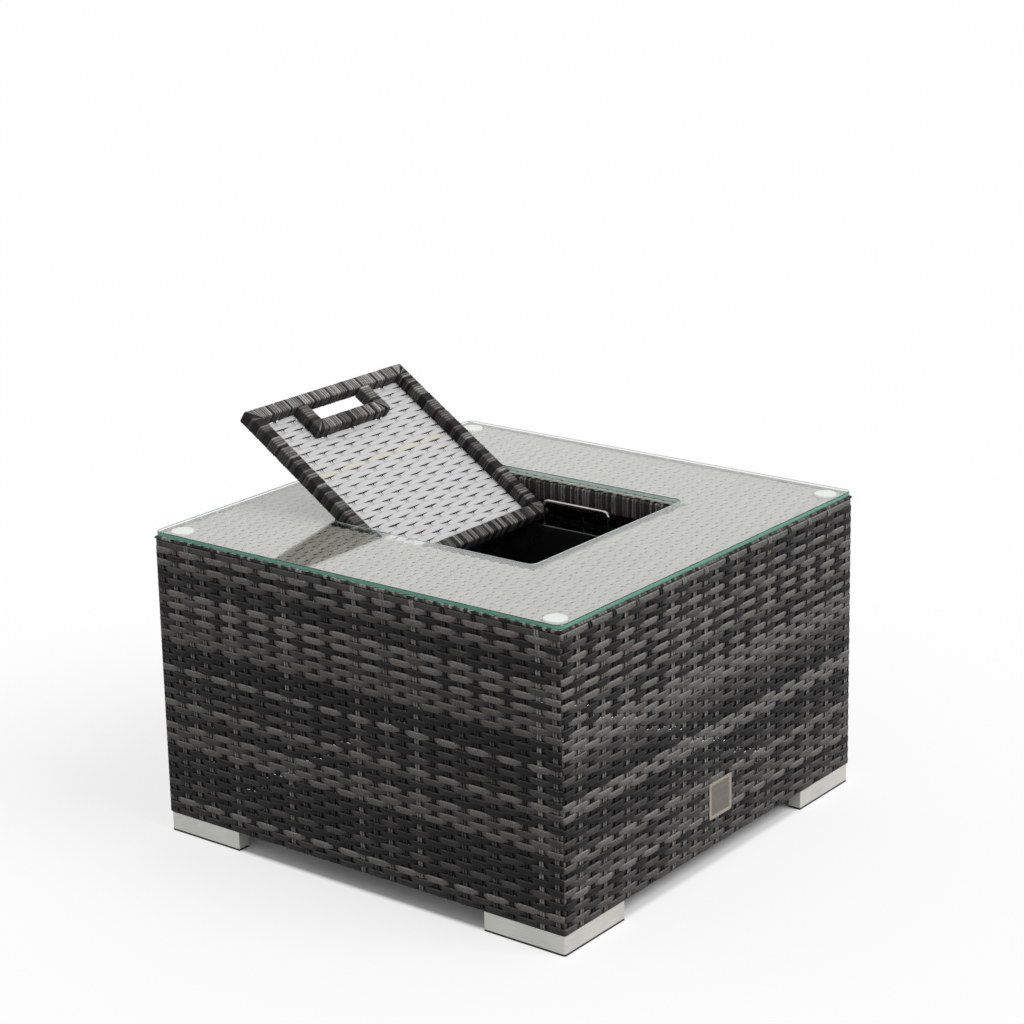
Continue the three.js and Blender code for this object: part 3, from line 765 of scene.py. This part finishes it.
class TABLE_OT_side_weaves(bpy.types.Operator):
    """Weave the four grey sides"""

    bl_idname = "table.side_weaves"
    bl_label = "Side weaves"

    def execute(self, context):
        given = context.scene.table_sides
        finish = grey_strands(context)
        bend = HALF_WIDTH - given.corner_radius

        def round_corners(rings):
            """From along, up and out to the front side, bent round its two corners."""
            along, up, out = rings[..., 0], rings[..., 1], rings[..., 2]
            past = np.clip((np.abs(along) - bend) / given.corner_radius, 0, 1) * math.pi / 4
            radius = given.corner_radius - given.depth + out
            x = np.where(past > 0, np.sign(along) * (bend + radius * np.sin(past)), along)
            return np.stack([x, -bend - radius * np.cos(past), up], axis=-1)

        for side, name in enumerate(SIDES):
            rng = np.random.default_rng(SEEDS["sides"] + side)
            row_shades, upright_shades = side_shades(given, side)
            rows = np.arange(1, len(row_shades) + 1)
            levels = np.linspace(BODY_TOP - given.first_row, STAND_LEVEL + given.last_row, len(rows))
            spacing = 2 * HALF_WIDTH / len(upright_shades)
            first = spacing / 2 - HALF_WIDTH
            places = first + spacing * np.arange(len(upright_shades))

            def place(rings):
                return turned(round_corners(rings), side)

            piece = Piece(f"woven_side_{name}")
            weave = Weave(piece, rng, given, first, spacing, SIDE_PAINTED_SHADE, place)
            tones = row_shades + rng.normal(scale=ROW_SPREAD, size=len(rows))
            weave.add_rows(rows, levels, (-HALF_WIDTH, HALF_WIDTH), tones, straight=1)
            tones = upright_shades * (1 + PALE_GAIN * (upright_shades > SHADES["m"]))
            tones = tones + rng.normal(scale=UPRIGHT_SPREAD, size=len(places))
            second = tones - rng.choice(SECOND_LOSSES, size=len(places))
            weave.add_uprights(places, rows, levels, (tones, second))
            piece.make(finish, "grey_weave", "table_body", f"side_weave_{name}")
        return {"FINISHED"}


# Places along a turn of a wrap and how deep its skin lies there, as shares of the groove
TURN = ((0.0, 1.0), (0.13, 0.45), (0.32, 0.05), (0.62, 0.0), (0.87, 0.4))


def turn_stations(turns):
    """Stations along a row of turns, counted in turns, the skin's depth at each, and its turn."""
    places, depths = zip(*TURN)
    at = np.append((np.arange(turns)[:, None] + np.array(places)).ravel(), turns)
    return at, np.append(np.tile(depths, turns), 1.0), np.minimum(at.astype(int), turns - 1)


# Shades of the turns of the top edge, on the front and right and on the back and left
EDGE_SHADES = ((0.08, 0.4, 0.6, 0.8), (0.02, 0.08, 0.4, 0.75, 1.0))
# The tone of the bottom edge, and the share of its tone that a turn keeps in its groove, as painted shade
BOTTOM_SHADE = 0.06
GROOVE_SHADE = 0.05
# Points round an edge, and its pattern's shift from one turn to the next, in metres
EDGE_CORNERS = 8
EDGE_SHIFT = 0.51
# Turns slant by this share of their height, and straighten out over this many turns before a corner
EDGE_SLANT = 0.7
STRAIGHT_TURNS = 3
# Mitred ends stay this far from their neighbour, and points this near an end belong to it
MITRE_GAP = 0.05 * MM
END_REACH = 0.01 * MM
# Places and half width of a knot's two strands, in widths of an upright's strand
KNOT_PLACES = (-0.55, 0.55)
KNOT_WIDTH = 0.48
# How far below the middle of the top row it starts, in widths of that row
KNOT_START = 0.55
# How full its bulge is, and how suddenly its upper end turns in
KNOT_FULLNESS = 0.6
KNOT_END = 4
# How much paler than its upright it is, and how much painted shade its edges get
KNOT_GAIN = 1.35
KNOT_PAINTED_SHADE = 0.3
KNOT_STATIONS = 8


class TABLE_OT_wound_edges(bpy.types.Operator):
    """Wind the narrow edges at the top and bottom of the sides, with the knots that cross the top row"""

    bl_idname = "table.wound_edges"
    bl_label = "Wound edges"

    def execute(self, context):
        given = context.scene.table_edges
        finish = grey_strands(context)
        angles = -QUARTER + np.arange(EDGE_CORNERS) * 2 * math.pi / EDGE_CORNERS
        run = given.radius * (angles - angles[0])
        for label, level, inset in (
            ("top", BODY_TOP + given.top_rise, given.top_inset),
            ("bottom", STAND_LEVEL + given.radius, given.bottom_inset),
        ):
            piece = Piece(f"wound_edge_{label}")
            reach = HALF_WIDTH - inset
            turns = round(2 * reach / given.turn)
            at, deep, owner = turn_stations(turns)
            size = (given.radius - given.groove * deep)[:, None]
            out, up = size * np.cos(angles), size * np.sin(angles)
            along = (-reach + 2 * reach * at / turns)[:, None]
            slant = EDGE_SLANT * np.clip((reach - np.abs(along)) / (STRAIGHT_TURNS * given.turn), 0, 1)
            mitre = np.sign(along) * (out - MITRE_GAP) * (np.abs(along) > reach - END_REACH)
            x = along + mitre - slant * (up + out)
            rings = np.stack(np.broadcast_arrays(x, -reach - out, level + up), axis=-1)[None]
            shift = EDGE_SHIFT * owner[None, :, None]
            for side in range(len(SIDES)):
                rng = np.random.default_rng(SEEDS["edges"] + side)
                tones = np.full(turns, BOTTOM_SHADE)
                if label == "top":
                    tones = rng.choice(EDGE_SHADES[side // 2], size=turns)
                # Painted shade in the groove between two turns
                shades = tones[owner] * np.where(deep == 1, GROOVE_SHADE, 1)
                piece.add(turned(rings, side), shades[None, :, None], run, rings[..., 0], shift)
                if label == "top":
                    self.add_knots(piece, rng, given, context.scene.table_sides, side)
            piece.make(finish, "grey_weave", "table_body")
        return {"FINISHED"}

    def add_knots(self, piece, rng, given, sides, side):
        """Pairs of strands that cross the straight top row where an upright passes over it."""
        _, upright_shades = side_shades(sides, side)
        uprights = len(upright_shades)
        spacing = 2 * HALF_WIDTH / uprights
        places = spacing * (np.arange(0, uprights, 2) + 0.5) - HALF_WIDTH
        places = places[np.abs(places) < HALF_WIDTH - spacing / 2]
        tones = upright_shades[np.rint((places + HALF_WIDTH) / spacing - 0.5).astype(int)]
        places = np.repeat(places, 2) + np.tile(KNOT_PLACES, len(places)) * sides.upright_width
        tones = np.repeat(tones * KNOT_GAIN, 2)
        share = np.linspace(0, 1, KNOT_STATIONS)
        along = BODY_TOP - sides.first_row - sides.width * KNOT_START + given.knot_length * share
        bulge = given.knot_crest * np.sin(math.pi * share) ** KNOT_FULLNESS
        out = given.knot_foot + bulge - given.knot_tuck * share**KNOT_END + np.zeros((len(places), 1))
        level = places[:, None] - given.knot_lean * share**2
        half_width = np.full(level.shape, KNOT_WIDTH * sides.upright_width)
        tones = np.broadcast_to(tones[:, None], level.shape)

        def place(rings):
            x, up, outward = rings[..., 1], rings[..., 0], rings[..., 2]
            return turned(np.stack([x, sides.depth - HALF_WIDTH - outward, up], axis=-1), side)

        thickness = given.knot_thickness / 2
        # Painted shade on the knots' edges
        flat_strands(piece, rng, along, level, out, half_width, thickness, tones, KNOT_PAINTED_SHADE * EDGES, place)


# How far the rows of the top end inside its outer faces and short of the well
TOP_MARGIN = 2.5 * MM
WELL_MARGIN = 1.2 * MM
# How far its strands stay below the top of the body
TOP_CLEARANCE = 0.1 * MM
# Tones of its rows and of its uprights, from and to. They get no painted shade
TOP_ROW_TONES = (0.7, 1.0)
TOP_UPRIGHT_TONES = (-0.4, 0.3)
TOP_PAINTED_SHADE = (0, 0, 0)


class TABLE_OT_top_weave(bpy.types.Operator):
    """Weave the white ring under the glass"""

    bl_idname = "table.top_weave"
    bl_label = "Top weave"

    def execute(self, context):
        given = context.scene.table_white
        edge = -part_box("top_weave")[0].x - TOP_MARGIN
        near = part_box("opening_wrap_left")[1].x - WELL_MARGIN
        far = -near
        rng = np.random.default_rng(SEEDS["top"])
        count = round(2 * edge / given.row_pitch)
        rows = np.arange(count)
        levels = edge - 2 * edge / count * (rows + 0.5)
        split = (levels > near) & (levels < far)
        across = round(2 * edge / given.spacing)
        spacing = 2 * edge / across
        first = spacing / 2 - edge
        height = BODY_TOP - given.swing - given.thickness / 2 - TOP_CLEARANCE
        piece = Piece("woven_top")

        def place(rings):
            return rings + np.array([0, 0, height])

        weave = Weave(piece, rng, given, first, spacing, TOP_PAINTED_SHADE, place)
        for chosen, ends in ((~split, (-edge, edge)), (split, (-edge, near)), (split, (far, edge))):
            tones = rng.uniform(*TOP_ROW_TONES, size=chosen.sum())
            weave.add_rows(rows[chosen], levels[chosen], ends, tones)
        places = first + spacing * np.arange(across)
        beside = (places < near) | (places > far)
        for uprights, part in (
            (places[beside], rows >= 0), (places[~beside], levels > far), (places[~beside], levels < near)
        ):
            tones = rng.uniform(*TOP_UPRIGHT_TONES, size=(2, len(uprights)))
            weave.add_uprights(uprights, rows[part], levels[part], tones, stations=1)
        colours = context.scene.table_finishes
        finish = white_finish("top_strands", colours.top_strand, colours.top_cream, colours.grey_strand)
        piece.make(finish, "white_weave", "table_body", "top_weave")
        return {"FINISHED"}


class Lid:
    """The lid's own directions: X across it, Y up its slope and Z out of its face, from its lowest edge."""

    def __init__(self, context):
        self.turn = np.array(Matrix.Rotation(context.scene.table_wraps.lid_tilt, 3, "X"))
        low, high = self.box("lid_wrap_lower")
        self.start = np.array([0, low[1], low[2]])
        self.rail = high[2] - low[2]
        self.width = high[0] - low[0]
        self.length = self.box("lid_wrap_upper")[1][1] - low[1]
        low, high = self.box("lid_grip_wrap")
        self.grip_half = (high[0] - low[0]) / 2
        self.grip_edge = low[1] - self.start[1]

    def box(self, name):
        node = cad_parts[name]
        turn = np.array(node.matrix_world.to_3x3())
        points = (coordinates(node.data) @ turn.T + np.array(node.matrix_world.translation)) @ self.turn
        return points.min(axis=0), points.max(axis=0)

    def place(self, points):
        return (points + self.start) @ self.turn.T


# How far the lid's rows reach into its rails, and how far one may lie over the grip's edge and stay whole
LID_LAP = 0.4 * MM
GRIP_LAP = 3 * MM
# The underside of the lid up to the middle of its white face and of the grey layer behind it
FACE_HEIGHT = 2.7 * MM
BACK_HEIGHT = 0.75 * MM
# Tones of the lid's rows, of the one cream row, of the uprights and of the grey layer
LID_ROW_TONES = (0.0, 0.1)
CREAM_TONE = 1.0
LID_UPRIGHT_TONE = 0.1
BACK_TONE = -1.2
# Where the cream row lies, as a share of the lid's length from its lowest edge
CREAM_SHARE = 0.585
# Painted shade past 1 makes dark painted gaps at the uprights
LID_PAINTED_SHADE = (0.06, 1.5, 1.6)
# Strands of the grey layer: swing, half thickness, half width as a share of a row, and stations
BACK_SWING = 0.25 * MM
BACK_HALF_THICKNESS = 0.4 * MM
BACK_HALF_WIDTH = 0.46
BACK_STATIONS = 24


class TABLE_OT_lid_weave(bpy.types.Operator):
    """Weave the lid's white face and the grey layer behind it"""

    bl_idname = "table.lid_weave"
    bl_label = "Lid weave"

    def execute(self, context):
        given = context.scene.table_white
        lid = Lid(context)
        rng = np.random.default_rng(SEEDS["lid"])
        edge = lid.width / 2 - lid.rail + LID_LAP
        low, high = lid.rail - LID_LAP, lid.length - lid.rail + LID_LAP
        count = round((high - low) / given.lid_row_pitch)
        pitch = (high - low) / count
        rows = np.arange(count)
        levels = high - pitch * (rows + 0.5)
        split = levels > lid.grip_edge + GRIP_LAP
        notch = lid.grip_half
        spans = ((~split, (-edge, edge)), (split, (-edge, -notch)), (split, (notch, edge)))
        spacing = given.lid_spacing
        uprights = 2 * (edge // spacing) + 1
        first = -spacing * (uprights - 1) / 2
        places = first + spacing * np.arange(uprights)
        piece = Piece("woven_lid")

        def place_face(rings):
            return lid.place(rings + np.array([0, 0, FACE_HEIGHT]))

        def place_back(rings):
            return lid.place(rings + np.array([0, 0, BACK_HEIGHT]))

        face = Weave(piece, rng, given, first, spacing, LID_PAINTED_SHADE, place_face)
        for chosen, ends in spans:
            tones = rng.choice(LID_ROW_TONES, size=chosen.sum())
            cream = np.abs(levels[chosen] - CREAM_SHARE * lid.length) < pitch / 2
            face.add_rows(rows[chosen], levels[chosen], ends, np.where(cream, CREAM_TONE, tones))
        inside = np.abs(places) < notch
        for chosen, part in ((~inside, rows >= 0), (inside, ~split)):
            tones = np.full((2, chosen.sum()), LID_UPRIGHT_TONE)
            face.add_uprights(places[chosen], rows[part], levels[part], tones)
        for chosen, ends in spans:
            along = np.linspace(*ends, BACK_STATIONS)
            out = BACK_SWING * np.cos(math.pi * (along / spacing + rows[chosen][:, None]))
            level = np.broadcast_to(levels[chosen][:, None], out.shape)
            half_width = np.full(out.shape, BACK_HALF_WIDTH * pitch)
            tones = np.full(out.shape, BACK_TONE)
            flat_strands(
                piece, rng, along, level, out, half_width, BACK_HALF_THICKNESS, tones, 0 * EDGES, place_back
            )
        colours = context.scene.table_finishes
        # The black strand colour fills the painted shade of the gaps at the uprights, and the grey layer
        # behind
        finish = white_finish("lid_strands", colours.lid_strand, colours.lid_cream, colours.black_strand)
        piece.make(finish, "white_weave", "lid_body", "lid_panel")
        return {"FINISHED"}


# How wraps are wound: tones of the darkest and the palest turn, and how many dark and pale ones follow on
WINDINGS = {
    "lower": ((0.05, 0.9), ((1, 2), (2, 4))),
    "right": ((0.0, 0.95), ((1, 3), (2, 5))),
    "upper": ((0.15, 1.3), ((1, 1), (4, 8))),
    "left": ((0.0, 0.95), ((1, 3), (2, 5))),
    "grip": ((0.05, 1.1), ((1, 2), (3, 6))),
    # The opening's turns are paler, partly painted light against the shade under the glass and the painted
    # side shade
    "opening": ((0.3, 1.6), ((1, 2), (1, 3))),
}
# Where runs of dark and of pale turns lie in that range, and how far single turns stray from their run
DARK_RUN, DARK_SPREAD = (0.0, 0.03), 0.03
PALE_RUN, PALE_SPREAD = (0.55, 0.95), 0.17
TONE_LIMITS = (-0.05, 1.4)
# How much turns differ in width, as a share, how far their skins lie sunk, and how far they lean
TURN_SPREAD = 0.15
SKIN_SPREAD = 0.3 * MM
LEAN_SPREAD = 0.03
# The turns of the fan that fills a mitre, and its whole width at the inner corner
FAN_TURNS = 6
FAN_WIDTH = 0.2 * MM
# How much painted shade darkens the bottom of a groove, and how suddenly it gets dark
GROOVE_PAINTED_SHADE, GROOVE_EDGE = 0.95, 1.5
# The pattern's shift from one turn to the next, in metres
WRAP_SHIFT = 0.73
# Points round each edge of a rail
CORNER_POINTS = 4


def rounded_section(width, height, radius):
    """Points round a rounded rectangle, from the middle of its underside, and the outward way at each."""
    points, ways = [], []
    for quarter, (x, y) in enumerate(((1, -1), (1, 1), (-1, 1), (-1, -1))):
        for angle in np.linspace(-QUARTER, 0, CORNER_POINTS) + quarter * QUARTER:
            way = np.array([math.cos(angle), math.sin(angle)])
            points.append(np.array([x * (width / 2 - radius), y * (height / 2 - radius)]) + radius * way)
            ways.append(way)
    return np.array(points), np.array(ways)


def runs_of_tones(rng, count, dark_turns, pale_turns):
    """A tone for each turn: dark and pale strands in turn, each wound a few times."""
    tones = []
    dark = rng.random() < 0.5
    while len(tones) < count:
        level = rng.uniform(*(DARK_RUN if dark else PALE_RUN))
        turns = rng.integers(*(dark_turns if dark else pale_turns), endpoint=True)
        tones += list(level + rng.normal(scale=DARK_SPREAD if dark else PALE_SPREAD, size=turns))
        dark = not dark
    return np.array(tones[:count])


def turn_ends(rng, ends, fans, width, turn):
    """Where turns start and end along a bar, and their slant, which grows in a fan up to the mitre."""
    start, stop = ends[0] + width * fans[0], ends[1] - width * fans[1]
    count = max(2, round((stop - start) / turn))
    sizes = rng.uniform(1 - TURN_SPREAD, 1 + TURN_SPREAD, size=count)
    along = start + (stop - start) * np.append(0, np.cumsum(sizes)) / sizes.sum()
    angles = np.zeros(count + 1)
    fan = np.arange(1, FAN_TURNS + 1)
    slopes = fan / FAN_TURNS * math.pi / 4
    if fans[0]:
        along = np.append((start - FAN_WIDTH * fan / FAN_TURNS)[::-1], along)
        angles = np.append(-slopes[::-1], angles)
    if fans[1]:
        along = np.append(along, stop + FAN_WIDTH * fan / FAN_TURNS)
        angles = np.append(angles, slopes)
    return along, angles


def add_wrap(piece, rng, ends, fans, section, turn, given, winding, place):
    """Turns of strand round a bar along X whose face at -Y is its long one. A fan mitres an end."""
    width, height = section
    points, ways = rounded_section(width, height, given.radius)
    along, angles = turn_ends(rng, ends, fans, width, turn)
    turns = len(along) - 1
    (darkest, palest), runs = winding
    tones = np.clip(darkest + (palest - darkest) * runs_of_tones(rng, turns, *runs), *TONE_LIMITS)
    at, deep, owner = turn_stations(turns)
    marks = np.arange(turns + 1)
    sunk = np.abs(rng.normal(scale=SKIN_SPREAD, size=turns))[owner] * (1 - deep)
    lean = np.interp(at, marks, rng.normal(scale=LEAN_SPREAD, size=turns + 1))
    lean = np.where(np.abs(np.interp(at, marks, angles)) > 0, 0, lean)
    lean[0] = lean[-1] = 0
    body = points[None] - ways[None] * (given.groove * deep + sunk)[:, None, None]
    slope = np.interp(at, marks, np.tan(angles))[:, None]
    route = np.interp(at, marks, along)[:, None] + slope * (width / 2 - body[..., 0])
    route = route + lean[:, None] * body[..., 1]
    rings = np.stack([route, body[..., 0], body[..., 1]], axis=-1)[None]
    girth = np.append(0, np.cumsum(np.linalg.norm(np.diff(points, axis=0), axis=1)))
    # Painted shade in the bottom of each groove
    shades = tones[owner] * (1 - GROOVE_PAINTED_SHADE * deep**GROOVE_EDGE)
    # Painted shade on the sides and underside of the rail
    side_shading = 1 - given.side_shade * (1 - np.clip(ways[:, 1], 0, 1))
    shift = WRAP_SHIFT * owner[None, :, None]
    piece.add(place(rings), shades[None, :, None] * side_shading, girth, rings[..., 0], shift)


class TABLE_OT_lid_wraps(bpy.types.Operator):
    """Wind the lid's four rails and the frame of its hand-hole"""

    bl_idname = "table.lid_wraps"
    bl_label = "Lid wraps"

    def execute(self, context):
        lid = Lid(context)
        half = lid.rail / 2
        across, middle = lid.width / 2, lid.length / 2
        rails = (
            ("lower", across, (0, half)),
            ("right", middle, (across - half, middle)),
            ("upper", across, (0, lid.length - half)),
            ("left", middle, (half - across, middle)),
        )
        for quarters, (name, reach, centre) in enumerate(rails):
            bars = [(quarters, (-reach, reach), (1, 1), centre)]
            seed = SEEDS["lid_rails"] + quarters
            self.wind(context, lid, seed, name, bars, f"wound_lid_{name}", f"lid_wrap_{name}")
        grip, foot = lid.grip_half, lid.grip_edge
        leg = lid.length - lid.rail - foot
        bars = (
            (0, (-grip, grip), (1, 1), (0, foot + half)),
            (1, (0, leg), (1, 0), (grip - half, foot)),
            (3, (-leg, 0), (0, 1), (half - grip, foot)),
        )
        self.wind(context, lid, SEEDS["grip"], "grip", bars, "wound_grip", "lid_grip_wrap")
        return {"FINISHED"}

    def wind(self, context, lid, seed, winding, bars, name, node):
        """One piece of bars, each with its quarter turns, its ends along X, its fans and its centre."""
        given = context.scene.table_wraps
        rng = np.random.default_rng(seed)
        piece = Piece(name)
        section = (lid.rail, lid.rail)
        for quarters, ends, fans, centre in bars:

            def place(rings):
                return lid.place(turned(rings, quarters, (*centre, lid.rail / 2)))

            add_wrap(piece, rng, ends, fans, section, given.lid_turn, given, WINDINGS[winding], place)
        piece.make(grey_strands(context), "grey_wrap", "lid_body", node)


class TABLE_OT_opening_wraps(bpy.types.Operator):
    """Wind the four rails round the opening"""

    bl_idname = "table.opening_wraps"
    bl_label = "Opening wraps"

    def execute(self, context):
        given = context.scene.table_wraps
        finish = grey_strands(context)
        low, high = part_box("opening_wrap_back")
        middle = (low + high) / 2
        section = (high.y - low.y, high.z - low.z)
        ends = (-high.y, high.y)
        for quarters, name in enumerate(SIDES):
            rng = np.random.default_rng(SEEDS["opening"] + quarters)
            piece = Piece(f"wound_opening_{name}")

            def place(rings):
                return turned(rings + np.array([0, -middle.y, middle.z]), quarters)

            winding = WINDINGS["opening"]
            add_wrap(piece, rng, ends, (1, 1), section, given.opening_turn, given, winding, place)
            piece.make(finish, "grey_wrap", "table_body", f"opening_wrap_{name}")
        return {"FINISHED"}


class TABLE_OT_plate(bpy.types.Operator):
    """Make the bare metal plate with its raised rim"""

    bl_idname = "table.plate"
    bl_label = "Plate"

    def execute(self, context):
        given = context.scene.table_plate
        low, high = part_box("name_plate")
        size, centre = high - low, (low + high) / 2
        bm = bmesh.new()
        bmesh.ops.create_cube(bm, size=1, matrix=Matrix.Diagonal((*size, 1)))
        bmesh.ops.translate(bm, verts=bm.verts, vec=centre)
        bm.normal_update()
        front = min(bm.faces, key=lambda face: face.normal.y)
        bmesh.ops.inset_region(bm, faces=[front], thickness=given.rim, depth=0)
        bmesh.ops.inset_region(bm, faces=[front], thickness=given.step, depth=-given.sink)
        corners = [edge for edge in bm.edges if abs((edge.verts[0].co - edge.verts[1].co).y) > size.y / 2]
        bmesh.ops.bevel(
            bm, geom=corners, offset=given.corner, offset_type="OFFSET", affect="EDGES", segments=5,
            profile=0.5, material=-1,
        )
        mesh = bpy.data.meshes.new("bare_plate")
        bm.to_mesh(mesh)
        bm.free()
        finish = plate_finish(context.scene.table_finishes, centre, size.x / 2 - given.rim - given.step)
        made = finished("bare_plate", mesh, finish, "plate_metal", "table_body", "name_plate")
        for face in made.data.polygons:
            face.use_smooth = False
        return {"FINISHED"}


class TABLE_OT_glass(bpy.types.Operator):
    """Finish the glass and the clear discs under it"""

    bl_idname = "table.glass"
    bl_label = "Glass"

    def execute(self, context):
        given = context.scene.table_finishes
        paint(glass_finish(given), ["glass_top"])
        disc = coat_finish("disc_finish", given.bumper, 0.25, 0.5, given.lid_strand)
        paint(disc, each("bumper", *CORNERS))
        return {"FINISHED"}


class TABLE_OT_metal_and_plastic(bpy.types.Operator):
    """Finish the frame, feet, tub and small parts"""

    bl_idname = "table.metal_and_plastic"
    bl_label = "Metal and plastic"

    def execute(self, context):
        given = context.scene.table_finishes
        tubes = [
            *each("bottom_rail", *SIDES), *each("top_rail", *SIDES), *each("opening_tube", *SIDES),
            *each("corner_post", *CORNERS), *each("middle_rail", "right", "left"),
            *each("tub_rail", "front", "back"), "lid_frame",
        ]
        for name, nodes, tint, roughness, shine in (
            ("frame_coat", tubes, given.frame_paint, 0.45, 0.4),
            ("glide_finish", each("glide", *CORNERS), given.black_plastic, 0.55, 0.4),
            ("tub_paint", ["tub"], given.black_paint, 0.2, 0.8),
            ("ledge_paint", each("lid_ledge", "front", "back"), given.black_paint, 0.3, 0.5),
        ):
            paint(coat_finish(name, tint, roughness, shine, given.grey_strand), nodes)
        for name, nodes, tint, roughness, grain, metallic in (
            ("foot_finish", each("foot", *CORNERS), given.aluminium, 0.4, (40, 40, 1200), 0.55),
            ("bolt_finish", each("foot_bolt", *CORNERS), given.steel, 0.3, (500, 500, 500), 0.9),
            ("wire_finish", each("tub_loop", "right", "left"), given.wire, 0.12, (300, 300, 300), 1.0),
        ):
            paint(metal_finish(name, tint, roughness, grain, metallic), nodes)
        return {"FINISHED"}


# Rays that see the floor and the sky in plain white, and the width over which the floor's glow starts
SEEN = ("Is Camera Ray", "Is Glossy Ray", "Is Transmission Ray")
FLOOR_FADE = 10 * MM


class TABLE_OT_stage(bpy.types.Operator):
    """Set the camera, the soft light and the pale floor"""

    bl_idname = "table.stage"
    bl_label = "Stage"

    def execute(self, context):
        given = context.scene.table_stage
        context.scene.view_settings.view_transform = "Standard"
        self.add_camera(context.scene, given)
        self.add_light(context.scene, given)
        self.add_floor(context.scene, given)
        return {"FINISHED"}

    def add_camera(self, scene, given):
        ahead = Vector((
            math.cos(given.dip) * math.cos(given.heading),
            math.cos(given.dip) * math.sin(given.heading),
            -math.sin(given.dip),
        ))
        right = ahead.cross(Vector((0, 0, 1))).normalized()
        up = right.cross(ahead)
        aside = right * math.cos(given.roll) + up * math.sin(given.roll)
        over = up * math.cos(given.roll) - right * math.sin(given.roll)
        camera = bpy.data.objects.new("camera", bpy.data.cameras.new("camera"))
        camera.data.lens = given.lens
        camera.data.shift_x, camera.data.shift_y = given.shift
        camera.data.sensor_width = given.film
        camera.data.sensor_fit = "HORIZONTAL"
        camera.data.clip_end = 4 * given.floor_size  # past the floor's far corners
        turn = Matrix((aside, over, -ahead)).transposed().to_4x4()
        camera.matrix_world = Matrix.Translation(given.eye) @ turn
        scene.collection.objects.link(camera)
        scene.camera = camera

    def add_light(self, scene, given):
        lamp = bpy.data.lights.new("soft_lamp", "SUN")
        lamp.energy = given.sun
        lamp.angle = given.softness
        sun = bpy.data.objects.new("soft_lamp", lamp)
        sun.rotation_euler = Vector(given.sun_way).to_track_quat("-Z", "Y").to_euler()
        scene.collection.objects.link(sun)
        graph = Graph("soft_sky", world=True)
        strength = given.sky + (1 - given.sky) * graph.rays(*SEEN)
        sky = graph.node("ShaderNodeBackground", {}, {"Color": given.backdrop, "Strength": strength})
        scene.world = graph.finish(sky)

    def add_floor(self, scene, given):
        bm = bmesh.new()
        bmesh.ops.create_grid(bm, x_segments=2, y_segments=2, size=given.floor_size)
        mesh = bpy.data.meshes.new("pale_floor")
        bm.to_mesh(mesh)
        bm.free()
        floor = bpy.data.objects.new("pale_floor", mesh)
        scene.collection.objects.link(floor)
        graph = Graph("pale_floor")
        x, y, _ = graph.parts(graph.place())
        outside = graph.step(abs(x).larger(abs(y)), HALF_WIDTH - FLOOR_FADE, HALF_WIDTH)
        bright = graph.node("ShaderNodeBsdfDiffuse", {}, {"Color": given.floor})
        dim = graph.node("ShaderNodeBsdfDiffuse", {}, {"Color": (given.bounce,) * 3})
        plain = graph.mix(graph.rays("Is Diffuse Ray"), bright, dim)
        glow = graph.node("ShaderNodeEmission", {}, {"Color": given.backdrop, "Strength": 1.0})
        shown = given.floor_glow * graph.rays(*SEEN) * outside
        mesh.materials.append(graph.finish(graph.mix(shown, plain, glow)))


OPERATORS = (
    TABLE_OT_side_weaves,
    TABLE_OT_wound_edges,
    TABLE_OT_top_weave,
    TABLE_OT_lid_weave,
    TABLE_OT_lid_wraps,
    TABLE_OT_opening_wraps,
    TABLE_OT_plate,
    TABLE_OT_glass,
    TABLE_OT_metal_and_plastic,
    TABLE_OT_stage,
)


class TABLE_PT_panel(bpy.types.Panel):
    """Sizes, colours and pieces of the table"""

    bl_label = "Table"
    bl_idname = "TABLE_PT_panel"
    bl_space_type = "VIEW_3D"
    bl_region_type = "UI"
    bl_category = "Table"

    def draw(self, context):
        for name, group in GROUPS.items():
            box = self.layout.box()
            box.label(text=group.__doc__)
            for field in group.__annotations__:
                box.prop(getattr(context.scene, name), field)
        for operator in OPERATORS:
            self.layout.operator(operator.bl_idname)


def register():
    for group in (*GROUPS.values(), *OPERATORS, TABLE_PT_panel):
        bpy.utils.register_class(group)
    for name, group in GROUPS.items():
        setattr(bpy.types.Scene, name, PointerProperty(type=group))


def unregister():
    for name in GROUPS:
        delattr(bpy.types.Scene, name)
    for group in reversed((*GROUPS.values(), *OPERATORS, TABLE_PT_panel)):
        bpy.utils.unregister_class(group)


def main():
    register()
    for operator in OPERATORS:
        name = operator.bl_idname.split(".")[1]
        getattr(bpy.ops.table, name)()


if __name__ == "__main__":
    main()
